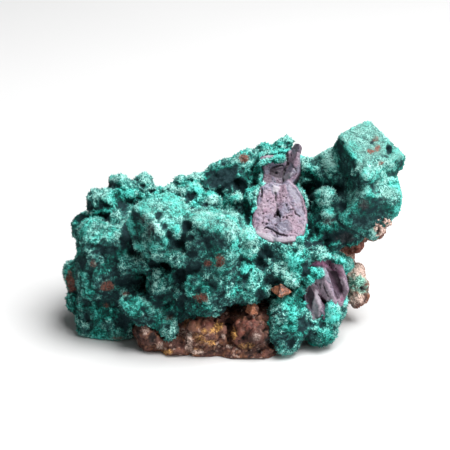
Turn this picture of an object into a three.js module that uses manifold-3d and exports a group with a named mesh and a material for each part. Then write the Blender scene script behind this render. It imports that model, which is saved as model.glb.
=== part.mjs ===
// A small-cabinet mineral specimen: cuprite crystals grown together and coated in velvety malachite, on a
// limonite matrix. Three crystals are broken open, and their lilac-grey cuprite shows. Millimetres, +Z up: the
// specimen rests on the flat cut under its matrix at z = 0, and its show side faces -Y.

import * as THREE from "three";
import { ImprovedNoise } from "three/addons/math/ImprovedNoise.js";
import { mergeVertices } from "three/addons/utils/BufferGeometryUtils.js";
import Module from "manifold-3d";

const wasm = await Module();
wasm.setup();

// ---------------------------------------------------------------------------------- driving dimensions

const CONTACT_GAP = 0.3; // clearance where one piece is seated in another
const RIPPLE_LENGTH = 3.4; // spacing of the dents and swells on every lump
const RIPPLE_HEIGHT = 0.55; // how far they rise and fall
const BLOCK_CALM = 0.45; // share of that height on a block, whose faces are flatter
const ROUND = 2.2; // squareness of a rounded knob
const BOULDER = 3; // squareness of a worn boulder
const BOXY = 5; // squareness of a coated crystal with rounded edges
const SHARP = 9; // squareness of a crystal whose faces are still flat
const BUD_SIZE = [1.0, 1.8]; // smallest and largest radius of the buds on a lump
const BUD_SINK = 0.35; // share of a bud's radius that lies in its lump
const BUD_RISE = [0.95, -0.2]; // from near the top of the lump to just below its middle
const CRYSTAL_DEPTH = 4; // how far a broken crystal goes back into the crust
const PIT_SIDES = 3;
const FLOOR_REACH = 80; // half width of the block that trims everything flat at z = 0

const MALACHITE = { color: 0x1f7f6e, roughness: 0.85, metalness: 0 };
const CUPRITE = { color: 0x8f7c93, roughness: 0.45, metalness: 0.3 };
const LIMONITE = { color: 0x6b4636, roughness: 0.9, metalness: 0 };
const RUST = { color: 0x9a5536, roughness: 0.75, metalness: 0 };

// Every lump has the middle it grew round, its half sizes, a turn in degrees about X, then Y, then Z, a
// squareness and the number of buds that it carries. A taper makes it wider towards its own -Y side, and a fine
// one has smaller facets.

const LEFT_LOBE = {
  core: { at: [-20.4, 3.2, 12.4], half: [7.4, 8.4, 11.4], square: ROUND },
  frontBlock: {
    at: [-22.4, -6.2, 15.2], half: [6.2, 5.9, 6.9],
    turn: [-4, 6, 8], square: BOXY, fine: true, buds: 4,
  },
  foot: {
    at: [-22.6, -4.2, 4.6], half: [6.3, 6.4, 5.6],
    turn: [0, 4, -8], square: BOXY, fine: true, buds: 2,
  },
  skylineDome: { at: [-20.8, 6.0, 23.6], half: [3.0, 3.1, 3.8], square: ROUND, buds: 2 },
  innerDome: { at: [-16.6, 6.6, 22.9], half: [3.0, 3.3, 3.7], square: ROUND, buds: 1 },
  shoulder: { at: [-24.2, 2.6, 22.4], half: [3.0, 3.0, 3.5], square: ROUND, buds: 2 },
  outerKnob: { at: [-27.4, 3.4, 17.0], half: [2.8, 3.4, 3.2], square: ROUND },
  valleyKnob: { at: [-19.8, -1.2, 20.2], half: [3.2, 3.2, 3.1], square: ROUND, buds: 1 },
  rustyKnob: { at: [-29.8, -1.8, 11.2], half: [2.4, 2.4, 2.2], square: ROUND },
  sideKnob: { at: [-28.6, -3.4, 6.2], half: [2.8, 3.2, 3.8], square: ROUND },
  tile: { at: [-18.4, -11.0, 16.4], half: [2.8, 2.5, 2.5], square: ROUND },
  fold: { at: [-12.6, -12.8, 13.2], half: [3.1, 3.0, 3.6], square: ROUND },
  skirt: { at: [-15.6, -12.2, 7.6], half: [6.2, 3.6, 3.6], turn: [0, 30, 0], square: ROUND, buds: 1 },
  skirtTip: { at: [-11.4, -14.8, 4.9], half: [2.2, 2.0, 2.7], turn: [0, -16, 0], square: ROUND },
};

const CENTRE_LOBE = {
  core: { at: [-4.6, -3.4, 15.6], half: [14.0, 9.8, 7.4], square: ROUND },
  leftBlock: { at: [-12.2, -12.2, 24.4], half: [4.9, 4.9, 4.7], turn: [18, 0, 37], square: BOXY, fine: true },
  frontBlock: {
    at: [-2.8, -14.2, 22.9], half: [4.8, 4.9, 4.8],
    turn: [-6, 6, -14], square: BOXY, fine: true, buds: 2,
  },
  saddle: { at: [-7.4, -7.0, 24.2], half: [4.6, 4.6, 3.6], square: ROUND },
  highKnob: { at: [-7.1, -4.0, 26.9], half: [2.4, 2.4, 2.5], square: ROUND, buds: 1 },
  brightKnob: { at: [-3.9, -4.8, 26.0], half: [2.3, 2.4, 2.4], square: ROUND, buds: 1 },
  cornerKnob: { at: [-11.6, -3.0, 26.6], half: [2.0, 2.1, 2.3], square: ROUND },
  bulge: { at: [-4.2, -12.9, 14.4], half: [6.6, 5.9, 6.6], square: BOULDER, fine: true, buds: 4 },
  lowerFlank: { at: [2.6, -12.6, 13.6], half: [3.8, 4.4, 5.2], square: ROUND, fine: true, buds: 2 },
  upperFlank: { at: [2.9, -12.2, 20.6], half: [2.7, 3.4, 3.8], square: ROUND, buds: 2 },
  ledge: { at: [2.8, -6.2, 21.8], half: [2.7, 3.0, 3.2], square: ROUND },
  valleyKnob: { at: [0.9, -2.0, 23.4], half: [2.3, 2.4, 2.4], square: ROUND },
};

const BACK_LOBE = {
  core: { at: [4.0, 10.0, 19.0], half: [14.0, 7.4, 6.6], square: ROUND },
  darkBlock: { at: [-0.8, 10.4, 22.6], half: [4.4, 4.6, 4.4], turn: [8, -26, 10], square: BOXY, buds: 1 },
  skyline: { at: [2.6, 11.6, 26.4], half: [3.0, 3.2, 3.1], square: ROUND, buds: 2 },
  crest: { at: [6.4, 14.4, 27.0], half: [2.7, 2.7, 2.6], square: ROUND, buds: 1 },
  crown: { at: [10.0, 14.6, 27.6], half: [2.7, 2.8, 3.0], square: ROUND, buds: 2 },
  saddleKnob: { at: [14.6, 12.8, 25.2], half: [2.6, 2.7, 2.8], square: ROUND, buds: 1 },
  leftKnob: { at: [-9.4, 8.2, 23.6], half: [2.5, 2.5, 2.5], square: ROUND },
  innerKnob: { at: [-6.4, 8.0, 24.8], half: [1.9, 2.2, 2.1], square: ROUND },
  hiddenBlock: { at: [-12.6, 11.6, 15.6], half: [5.0, 4.8, 5.4], turn: [10, 14, 30], square: BOXY },
  rearBlock: { at: [6.8, 15.4, 19.6], half: [4.4, 3.8, 4.6], turn: [18, 0, -24], square: BOXY, buds: 1 },
  crystalRoot: { at: [9.8, 7.2, 26.1], half: [4.9, 4.8, 4.6], turn: [52, -4, -6], square: BOXY, fine: true },
};

const RIGHT_LOBE = {
  core: { at: [12.0, -2.6, 11.0], half: [9.6, 8.8, 9.6], square: ROUND },
  crystalRoot: { at: [8.4, -5.5, 22.7], half: [5.9, 6.2, 5.0], turn: [52, 0, 3], square: BOXY, fine: true },
  bridge: { at: [8.6, -10.6, 16.2], half: [4.2, 4.2, 4.6], square: ROUND, buds: 2 },
  brightRidge: { at: [12.2, -11.4, 17.6], half: [2.3, 2.9, 4.2], turn: [0, -12, 0], square: ROUND },
  lowerLobe: { at: [10.2, -14.2, 5.6], half: [4.0, 4.2, 5.6], square: ROUND, fine: true, buds: 2 },
  lowerRightLobe: { at: [16.8, -11.4, 4.4], half: [3.6, 4.1, 4.5], square: ROUND, fine: true, buds: 2 },
  dome: { at: [14.8, -7.6, 17.2], half: [3.1, 3.2, 2.9], square: ROUND },
  edgeKnob: { at: [21.4, -3.2, 12.8], half: [2.0, 2.3, 2.3], square: ROUND },
  crystalBed: { at: [16.9, -8.0, 10.5], half: [4.7, 6.6, 4.7], turn: [76, 0, 10], square: BOXY },
};

const UPPER_CRYSTALS = {
  core: { at: [18.8, 3.4, 21.4], half: [6.0, 6.2, 6.6], square: ROUND, buds: 1 },
  cube: {
    at: [24.6, 0.6, 32.2], half: [4.2, 4.9, 4.6],
    turn: [37, -10.5, 36.6], square: SHARP, taper: 0.18, fine: true,
  },
  lowerCube: { at: [25.2, -3.0, 24.8], half: [4.4, 4.4, 4.4], turn: [8, 34, 12], square: SHARP, fine: true },
  cornerCube: { at: [28.0, -2.4, 27.9], half: [3.1, 4.2, 2.7], turn: [0, 4, 8], square: SHARP },
  smallCube: { at: [18.3, 3.4, 28.6], half: [2.9, 3.0, 3.4], turn: [-14, -26, 18], square: SHARP },
  litRidge: { at: [17.8, -2.6, 24.4], half: [2.3, 2.8, 3.5], turn: [0, 8, 20], square: ROUND, buds: 1 },
  darkBelly: {
    at: [19.6, -1.4, 19.8], half: [6.4, 5.0, 4.2],
    turn: [0, -16, 0], square: BOULDER, fine: true, buds: 1,
  },
};

const MATRIX_ROCK = {
  slab: { at: [-3.5, -1.0, 2.4], half: [16.0, 14.2, 5.4], square: BOXY },
  frontBlock: { at: [-4.2, -13.4, 3.2], half: [3.7, 3.7, 4.0], turn: [0, 0, 4], square: BOXY },
  frontBoulder: {
    at: [3.8, -12.9, 3.4], half: [4.1, 4.3, 4.6],
    turn: [0, 8, -6], square: BOULDER, fine: true, buds: 1,
  },
  leftStub: { at: [-14.6, -12.0, 2.6], half: [2.7, 3.7, 3.7], turn: [0, 0, 10], square: BOULDER },
  leftStep: { at: [-9.8, -13.2, 1.2], half: [3.6, 3.6, 2.6], square: BOULDER },
  frontSill: { at: [3.4, -14.0, 0.6], half: [7.0, 3.8, 2.0], square: BOULDER },
  backWall: {
    at: [0.6, 10.6, 8.0], half: [18.6, 6.4, 9.8],
    turn: [4, 0, 2], square: BOXY, fine: true, buds: 2,
  },
  rightWall: { at: [18.6, 5.4, 8.4], half: [5.4, 6.6, 9.4], square: ROUND, fine: true, buds: 2 },
  porousKnob: { at: [26.4, 1.6, 18.2], half: [2.9, 3.0, 3.0], square: ROUND },
  porousNeck: { at: [22.4, 3.4, 15.6], half: [3.4, 3.4, 3.6], square: ROUND },
  rightKnob: { at: [22.4, 0.4, 6.8], half: [2.5, 2.8, 4.0], square: ROUND },
  backLedge: { at: [-7.4, 14.6, 4.4], half: [6.6, 3.6, 5.4], turn: [0, 10, 8], square: BOXY },
  backBoulder: { at: [9.0, 14.8, 9.6], half: [4.4, 3.4, 4.6], turn: [0, 24, -10], square: BOXY },
};

// Deep dark hollows between the lobes.
const HOLLOWS = {
  underLeftBlock: { at: [-16.4, -13.6, 19.4], half: [2.4, 3.0, 1.8], turn: [0, 30, 0] },
  underBulge: { at: [-9.2, -16.0, 15.4], half: [1.6, 2.4, 2.6], turn: [0, 20, 0] },
  besideTile: { at: [-18.0, -14.6, 13.6], half: [2.6, 2.2, 1.2] },
  valley: { at: [0.4, 2.2, 20.6], half: [4.4, 3.4, 3.0] },
  besideCube: { at: [21.8, -1.4, 30.4], half: [1.8, 3.4, 2.8], turn: [0, 20, 0] },
  besideCentreCrystal: { at: [14.6, -5.4, 22.4], half: [1.4, 3.0, 3.4] },
  aboveBoulder: { at: [2.0, -16.6, 9.6], half: [3.4, 2.6, 1.8] },
};

// Each broken crystal shows one face: the middle of that face, the turn that lays +Z of the crystal along the
// face's normal, its outline seen along that normal, and its relief, the steps of the break as [across, height]
// points carried straight along the face at an angle of "grain" degrees. Cracks run from point to point of the
// face, and pits are three-cornered.
const BROKEN_CRYSTALS = {
  cuprite_centre: {
    at: [8.9, -9.2, 25.6],
    turn: [52, 0, 3],
    outline: [
      [-3.2, 5.2], [-1.3, 5.9], [0.8, 5.5], [1.9, 6.3], [3.3, 4.8], [4.2, 3.1], [4.9, 0.6], [4.9, -1.8],
      [4.2, -3.8], [2.4, -5.2], [0.4, -5.4], [-1.8, -5.1], [-4.0, -4.2], [-5.0, -3.0], [-4.7, -0.4],
      [-4.0, 1.8],
    ],
    grain: 80,
    relief: [[-7, -0.3], [-3.4, 0.4], [-0.4, 0.2], [0.3, 0.5], [2.8, 0.6], [7, -0.6]],
    cracks: [
      { from: [-2.8, -2.8], to: [-0.4, -3.9], width: 0.4, depth: 0.8 },
      { from: [-0.9, -3.7], to: [1.6, -4.3], width: 0.3, depth: 0.7 },
    ],
    pits: [{ at: [-0.3, -0.2], radius: 0.65, depth: 1.1 }],
  },
  cuprite_top: {
    at: [9.9, 3.6, 29.0],
    turn: [52, -4, -6],
    outline: [
      [-4.2, 2.4], [-2.0, 2.9], [0.4, 3.1], [2.2, 5.2], [3.0, 5.6], [3.6, 2.6], [3.4, -0.6], [1.6, -3.2],
      [0.4, -3.8], [-1.6, -3.9], [-4.0, -3.4], [-3.4, -0.6],
    ],
    grain: 74,
    relief: [[-6, 0.9], [-3.4, 0.5], [0.4, -1.5], [1.9, 1.1], [3.2, 1.3], [6, -1.2]],
    cracks: [],
    pits: [],
  },
  cuprite_right: {
    at: [17.6, -12.2, 11.6],
    turn: [76, 0, 10],
    outline: [
      [-3.2, 4.4], [-1.6, 5.7], [0.8, 6.1], [2.6, 5.4], [3.5, 2.8], [4.1, 0.0], [3.6, -2.0], [2.2, -3.2],
      [0.6, -4.4], [-0.6, -6.6], [-2.2, -6.4], [-3.3, -4.2], [-3.9, -1.0], [-3.4, 1.6],
    ],
    grain: 112,
    relief: [
      [-6, -0.6], [-3.6, -0.7], [-2.4, 0.5], [-1.2, -0.3], [0.4, 0.9], [1.5, 0.9], [2.6, -0.7], [3.7, 0.6],
      [7, 0.2],
    ],
    cracks: [],
    pits: [],
  },
};

// Two small crystals that stayed bare and rusted: an octahedron and a cube.
const RUSTY_OCTAHEDRON = { at: [9.2, -14.8, 12.8], radius: [2.1, 1.9, 1.7], turn: [12, 0, -14] };
const RUSTY_CUBE = { at: [4.0, -15.4, 9.3], edge: 1.7, turn: [8, 10, 34] };

// --------------------------------------------------------------------------------------- small helpers

const noise = new ImprovedNoise();

/** A turn in degrees about X, then Y, then Z. */
function eulerOf(turn = [0, 0, 0]) {
  return new THREE.Euler(...turn.map(THREE.MathUtils.degToRad), "ZYX");
}

/** Ripple at a point: two octaves of smooth noise, from about -1 to 1. */
function ripple(p, length) {
  const coarse = noise.noise(p.x / length + 7.3, p.y / length + 3.1, p.z / length + 5.7);
  const fine = noise.noise((2.3 * p.x) / length, (2.3 * p.y) / length, (2.3 * p.z) / length);
  return 1.3 * coarse + 0.6 * fine;
}

/** A three.js geometry as a manifold-3d solid, for joining and cutting. */
function solid(geometry) {
  const bare = geometry.index ? geometry.toNonIndexed() : geometry.clone();
  bare.deleteAttribute("normal");
  bare.deleteAttribute("uv");
  const merged = mergeVertices(bare, 1e-4);
  return new wasm.Manifold(
    new wasm.Mesh({
      numProp: 3,
      vertProperties: merged.attributes.position.array,
      triVerts: new Uint32Array(merged.index.array),
    }),
  );
}

/** A manifold-3d solid back as a three.js geometry with flat-shaded faces. */
function geometryOf(made) {
  const { numProp, numVert, vertProperties, triVerts } = made.getMesh();
  const positions = new Float32Array(3 * numVert);
  for (let i = 0; i < numVert; i++) {
    positions.set(vertProperties.subarray(i * numProp, i * numProp + 3), 3 * i);
  }
  const geometry = new THREE.BufferGeometry();
  geometry.setAttribute("position", new THREE.BufferAttribute(positions, 3));
  geometry.setIndex(new THREE.BufferAttribute(triVerts, 1));
  const faceted = geometry.toNonIndexed();
  faceted.computeVertexNormals();
  return faceted;
}

function joined(solids) {
  return solids.reduce((whole, next) => whole.add(next));
}

// ------------------------------------------------------------------------------------------ rock lumps

/** How far a superellipsoid of half size 1 reaches along a direction: |x|^s + |y|^s + |z|^s = 1. */
function reachAlong(direction, square) {
  const sum = direction.toArray().reduce((total, c) => total + Math.abs(c) ** square, 0);
  return 1 / sum ** (1 / square);
}

/** The facets that a lump starts from: a block's come from a box, so that its faces stay flat. */
function facetsOf({ half, square, fine }) {
  if (square >= BOXY) {
    const segments = fine ? 3 : 2;
    return new THREE.BoxGeometry(2, 2, 2, segments, segments, segments);
  }
  const isBud = Math.max(...half) <= BUD_SIZE[1];
  return fine || isBud ? new THREE.IcosahedronGeometry(1, Number(!isBud)) : new THREE.DodecahedronGeometry(1);
}

/** A lump is a superellipsoid, moved in and out by the ripples along the lines from its middle. */
function lump({ at, half, turn, square, fine, taper = 0 }, grow = 0) {
  const facets = facetsOf({ half, square, fine });
  const points = facets.getAttribute("position");
  const middle = new THREE.Vector3(...at);
  const size = new THREE.Vector3(...half).addScalar(grow);
  const calm = square >= BOXY ? BLOCK_CALM : 1;
  const p = new THREE.Vector3();
  for (let i = 0; i < points.count; i++) {
    p.fromBufferAttribute(points, i).normalize();
    p.multiplyScalar(reachAlong(p, square));
    p.x *= 1 - taper * p.y;
    p.multiply(size).applyEuler(eulerOf(turn));
    const outward = p.clone().normalize();
    p.add(middle);
    p.addScaledVector(outward, calm * RIPPLE_HEIGHT * ripple(p, RIPPLE_LENGTH));
    points.setXYZ(i, p.x, p.y, p.z);
  }
  return solid(facets);
}

/**
 * The buds of a lump lie on a golden spiral over the side of it that faces up and out, each a small knob that
 * is sunk into the lump. Its radius steps through BUD_SIZE with the spiral's own angle, so that no two alike
 * adjoin.
 */
function budsOf({ at, half, turn, square, buds = 0 }, grow = 0) {
  const golden = Math.PI * (3 - Math.sqrt(5));
  const outside = Math.atan2(at[1], at[0]);
  return Array.from({ length: buds }, (_, i) => {
    const rise = THREE.MathUtils.lerp(...BUD_RISE, (i + 0.5) / buds);
    const angle = outside + golden * i;
    const flat = Math.sqrt(1 - rise * rise);
    const direction = new THREE.Vector3(flat * Math.cos(angle), flat * Math.sin(angle), rise);
    const radius = THREE.MathUtils.lerp(...BUD_SIZE, 0.5 + 0.5 * Math.sin(5 * angle + at[0]));
    const sunk = new THREE.Vector3(...half).subScalar(BUD_SINK * radius);
    direction.multiplyScalar(reachAlong(direction, square));
    const seat = direction.multiply(sunk).applyEuler(eulerOf(turn)).add(new THREE.Vector3(...at));
    return lump({ at: seat.toArray(), half: [radius, radius, radius], square: ROUND }, grow);
  });
}

function rock(lumps, grow = 0) {
  return joined(Object.values(lumps).flatMap((l) => [lump(l, grow), ...budsOf(l, grow)]));
}

/** The block under the floor that trims a solid flat at z = height. */
function below(height) {
  const block = new THREE.BoxGeometry(2 * FLOOR_REACH, 2 * FLOOR_REACH, FLOOR_REACH);
  return solid(block.translate(0, 0, height - FLOOR_REACH / 2));
}

// --------------------------------------------------------------------------------------- bare crystals

function outlineShape(outline, grow = 0) {
  const corners = outline.map(([x, y]) => {
    const reach = Math.hypot(x, y);
    return new THREE.Vector2((x * (reach + grow)) / reach, (y * (reach + grow)) / reach);
  });
  return new THREE.Shape(corners);
}

/** Puts a solid that was made with its face's middle at the origin and its normal along +Z in its place. */
function seated(made, { at, turn }) {
  return made.rotate(turn).translate(at);
}

/** A crack: a long diamond across the face, cut straight down. */
function crack({ from, to, width, depth }) {
  const start = new THREE.Vector2(...from);
  const end = new THREE.Vector2(...to);
  const side = end.clone().sub(start).normalize().rotateAround(new THREE.Vector2(), Math.PI / 2);
  const centre = start.clone().lerp(end, 0.5);
  const left = centre.clone().addScaledVector(side, width / 2);
  const right = centre.clone().addScaledVector(side, -width / 2);
  const diamond = new THREE.Shape([start, right, end, left]);
  return new THREE.ExtrudeGeometry(diamond, { depth: 2 * depth, bevelEnabled: false }).translate(0, 0, -depth);
}

/** A pit: a three-sided hollow that comes to a point below the face. */
function pit({ at: [x, y], radius, depth }) {
  return new THREE.ConeGeometry(2 * radius, 2 * depth, PIT_SIDES).rotateX(-Math.PI / 2).translate(x, y, 0);
}

/** A crystal broken across: its outline carried back from the face, cut by the relief, cracks and pits. */
function brokenCrystal({ outline, grain, relief, cracks, pits, at, turn }) {
  const highest = Math.max(...relief.map(([, height]) => height));
  const [[start], [end]] = [relief[0], relief.at(-1)];
  const prism = { depth: CRYSTAL_DEPTH + highest + 1, bevelEnabled: false };
  const body = new THREE.ExtrudeGeometry(outlineShape(outline), prism).translate(0, 0, -CRYSTAL_DEPTH);
  const profile = new THREE.Shape([
    new THREE.Vector2(start, -CRYSTAL_DEPTH),
    new THREE.Vector2(end, -CRYSTAL_DEPTH),
    ...[...relief].reverse().map((point) => new THREE.Vector2(...point)),
  ]);
  const length = 2 * (end - start);
  const steps = new THREE.ExtrudeGeometry(profile, { depth: length, bevelEnabled: false });
  steps.translate(0, 0, -length / 2).rotateX(Math.PI / 2).rotateZ(THREE.MathUtils.degToRad(grain - 90));
  const whole = solid(body).intersect(solid(steps));
  const cuts = [...cracks.map(crack), ...pits.map(pit)].map(solid);
  return seated(cuts.reduce((left, cut) => left.subtract(cut), whole), { at, turn });
}

/** The seat of a broken crystal: its outline grown by the contact gap, open far out in front of the face. */
function crystalSeat({ outline, at, turn }) {
  const back = CRYSTAL_DEPTH + CONTACT_GAP;
  const pocket = { depth: 4 * CRYSTAL_DEPTH, bevelEnabled: false };
  const seat = new THREE.ExtrudeGeometry(outlineShape(outline, CONTACT_GAP), pocket).translate(0, 0, -back);
  return seated(solid(seat), { at, turn });
}

function rustyOctahedron(grow = 0) {
  const { at, radius, turn } = RUSTY_OCTAHEDRON;
  const shape = new THREE.OctahedronGeometry(1).scale(...radius.map((r) => r + Math.sqrt(3) * grow));
  return seated(solid(shape), { at, turn });
}

function rustyCube(grow = 0) {
  const { at, edge, turn } = RUSTY_CUBE;
  return seated(solid(new THREE.BoxGeometry(...Array(3).fill(edge + 2 * grow))), { at, turn });
}

// ---------------------------------------------------------------------------------------- the specimen

function matrixSolid(grow = 0) {
  return rock(MATRIX_ROCK, grow).subtract(below(0));
}

/** The malachite crust with the crystals that it hides, less the seats of the matrix and the bare crystals. */
function crustSolid() {
  const lobes = [LEFT_LOBE, CENTRE_LOBE, BACK_LOBE, RIGHT_LOBE, UPPER_CRYSTALS].map((lobe) => rock(lobe));
  const seats = [
    matrixSolid(CONTACT_GAP),
    ...Object.values(BROKEN_CRYSTALS).map(crystalSeat),
    rustyOctahedron(CONTACT_GAP),
    rustyCube(CONTACT_GAP),
    below(0),
  ];
  const hollows = Object.values(HOLLOWS).map((hollow) => lump({ ...hollow, square: ROUND }));
  const cut = joined(lobes).subtract(joined([...hollows, ...seats]));
  return cut.decompose().sort((a, b) => b.volume() - a.volume())[0];
}

function piece(name, made, finish) {
  const material = new THREE.MeshStandardMaterial({ ...finish, flatShading: true });
  const mesh = new THREE.Mesh(geometryOf(made), material);
  mesh.name = name;
  return mesh;
}

const pieces = new THREE.Group();
pieces.add(piece("matrix", matrixSolid(), LIMONITE));
pieces.add(piece("malachite_crust", crustSolid(), MALACHITE));
for (const [name, crystal] of Object.entries(BROKEN_CRYSTALS)) {
  pieces.add(piece(name, brokenCrystal(crystal), CUPRITE));
}
pieces.add(piece("rusty_octahedron", rustyOctahedron(), RUST));
pieces.add(piece("rusty_cube", rustyCube(), RUST));

// The origin is the middle of the specimen's footprint, on the surface that it rests on.
const box = new THREE.Box3().setFromObject(pieces);
const middle = box.getCenter(new THREE.Vector3());
pieces.position.set(-middle.x, -middle.y, 0);

const specimen = new THREE.Group();
specimen.add(pieces);

export default specimen;
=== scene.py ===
"""Malachite on cuprite: velvety green malachite over broken lilac cuprite crystals, on brown limonite.

Laid out as a Blender add-on and run as a script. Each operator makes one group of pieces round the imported
frame. Lengths are millimetres, except in the meshes and on the stage, where they are metres.
"""

import itertools
from collections import namedtuple

import bmesh
import bpy
import numpy as np
from mathutils import Euler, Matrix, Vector
from mathutils.bvhtree import BVHTree


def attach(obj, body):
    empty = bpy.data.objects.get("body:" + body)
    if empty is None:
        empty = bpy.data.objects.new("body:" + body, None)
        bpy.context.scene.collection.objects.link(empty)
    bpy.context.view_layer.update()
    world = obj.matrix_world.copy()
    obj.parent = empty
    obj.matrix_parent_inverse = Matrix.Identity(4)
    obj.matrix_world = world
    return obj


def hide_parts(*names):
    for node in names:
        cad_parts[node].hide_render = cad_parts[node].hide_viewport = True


bl_info = {
    "name": "Malachite on cuprite",
    "version": (1, 0, 0),
    "blender": (4, 5, 0),
    "location": "View3D > Sidebar > Mineral",
    "description": "A velvety malachite specimen with broken cuprite crystals on limonite",
    "category": "Object",
}

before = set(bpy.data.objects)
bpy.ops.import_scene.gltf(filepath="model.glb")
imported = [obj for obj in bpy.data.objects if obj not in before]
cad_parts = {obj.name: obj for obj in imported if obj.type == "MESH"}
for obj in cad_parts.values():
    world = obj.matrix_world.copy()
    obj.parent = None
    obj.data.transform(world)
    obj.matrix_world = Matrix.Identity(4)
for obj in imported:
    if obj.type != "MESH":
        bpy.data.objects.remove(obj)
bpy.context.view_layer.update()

MM = 0.001
SEED = 7

# Sizes of the even quads that the meshes are rebuilt from, in mm, and the triangles that the crust keeps.
CRUST_FIRST_QUAD = 0.42
CUPRITE_QUAD = 0.15
ROCK_QUAD = 0.26
RUSTY_QUAD = 0.1
CRUST_TRIANGLES = 196000

# Corners closer than this, in mm, count as one.
DOUBLED = 0.002

# The needles: the corners of each, and in mm how deep its root lies in the crust, and the spacing of the
# bundles that the needles fan out of.
NEEDLE_CORNERS = 4
NEEDLE_DEPTH = 0.1
BUNDLE = 0.7

# Where the softened faces of a block lie, in its half sizes.
FACE_AT = 0.98

# How far the crust is raised beside a broken crystal, in mm.
COLLAR = 0.8

# The way that the slopes painted lightest face, near the upper light, and the tone above which tones
# level off.
PAINTED_LIGHT_DIRECTION = (0.25, -0.05, 0.96)
BRIGHT = 0.7

# Depth in mm on either side of a stroke's middle that isn't counted, and how many times its reach away a
# stroke is cut off.
FREE_DEPTH = 1
STROKE_END = 1.6

# The lights, in m: place, width, and the setting that holds the power.
LIGHTS = {
    "upper light": ((0.16, -0.06, 0.5), 0.42, "key_power"),
    "right light": ((0.55, -0.3, 0.22), 0.5, "fill_power"),
}

# Small malachite lumps round two of the broken crystals: how far they lie outside the outline, how likely
# an edge has one, their lowest place under the face and how much higher they may be, and their least half
# size and how much larger they may be. Lengths are in mm.
BEADED = ("cuprite_centre", "cuprite_right")
BEAD_OUT = 0.3
BEAD_SHARE = 0.75
BEAD_LOWEST = -0.9
BEAD_RISE = 0.7
BEAD_HALF = 0.45
BEAD_GROWTH = 0.4

# Materials: the sizes of the malachite's clouds and grains in mm, the places of its greens on their ramps,
# the scale of the threads as a part of the grains', and how much the threads are narrowed.
MALACHITE_GRAIN = (4.0, 0.22)
GREEN_STOPS = (0.12, 0.42, 0.78, 1.0)
THREAD_SCALE = 0.35
THREAD_NARROWING = 9.0

# What knots gives, and odd numbers that mix the bits of cell numbers and seeds.
Knots = namedtuple("Knots", "near step tag edge")
ALL_BITS = 0xFFFFFFFF
MIX_AXES = (0x9E3779B1, 0x85EBCA77, 0xC2B2AE3D)
MIX_SEED = 0x27D4EB2F
MIX_STEPS = ((15, 0x2C1B3C6D), (12, 0x297A2D39), (15, 1))
AXIS_SEED = 11
TAG_SEED = 51

# The camera, in mm and degrees: the point it looks at, its distance, its rise, its lens and sensor, and the
# width of its square picture in pixels.
TARGET = (-0.83, -0.49, 19.3)
DISTANCE = 352.5
RISE = 24
LENS = 150
SENSOR = 36
PICTURE = 450

# Coated crystals and other blocks of the crust: middle, half size, turn in degrees about X, Y, Z,
# squareness, how much narrower they are at their far end, and from 0 to 1 how calm and flat their faces
# are.
BLOCKS = {
    "upper cube": ((24.77, 0.11, 32.2), (4.7, 5.4, 5.0), (37, -10.5, 36.6), 14, 0.18, 1.0),
    "lower cube": ((25.37, -3.49, 24.8), (4.5, 4.5, 4.5), (8, 34, 12), 12, 0, 0.9),
    "corner cube": ((28.17, -2.89, 26.9), (3.2, 4.4, 2.8), (20, 4, 8), 12, 0, 1.0),
    "small cube": ((18.7, 1.75, 29.8), (3.4, 2.1, 2.4), (1, 51, -34), 12, 0, 0.8),
    "left block": ((-12.03, -12.69, 24.4), (4.9, 4.9, 4.7), (18, 0, 37), 5, 0, 0.6),
    "front block": ((-2.63, -14.69, 22.9), (4.8, 4.9, 4.8), (-6, 6, -14), 5, 0, 0.5),
    "far left block": ((-22.23, -6.69, 15.2), (6.2, 5.9, 6.9), (-4, 6, 8), 5, 0, 0.25),
    "skirt": ((-15.4, -15.5, 8.5), (5.8, 1.5, 2.1), (0, 39, 8), 2.5, 0, 0.6),
}

# Flat cuts that trim the crust: a place on the cut, its outward normal, and the middle and half size of the
# box in which it trims.
CUTS = {
    "top of the lower cube": ((28.0, -7.6, 28.4), (0.05, -0.42, 0.9), (29.4, -5.6, 30.4), (3.2, 4.4, 3.0)),
    "right side of the fin": ((13.3, 4.0, 30.0), (1.0, 0.0, 0.03), (13.9, 4.0, 30.0), (1.6, 4.5, 6.0)),
    "tip of the fin": ((12.5, 4.0, 34.1), (0.15, 0.4, 0.91), (12.5, 4.0, 34.2), (1.8, 5.0, 2.5)),
}
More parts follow.
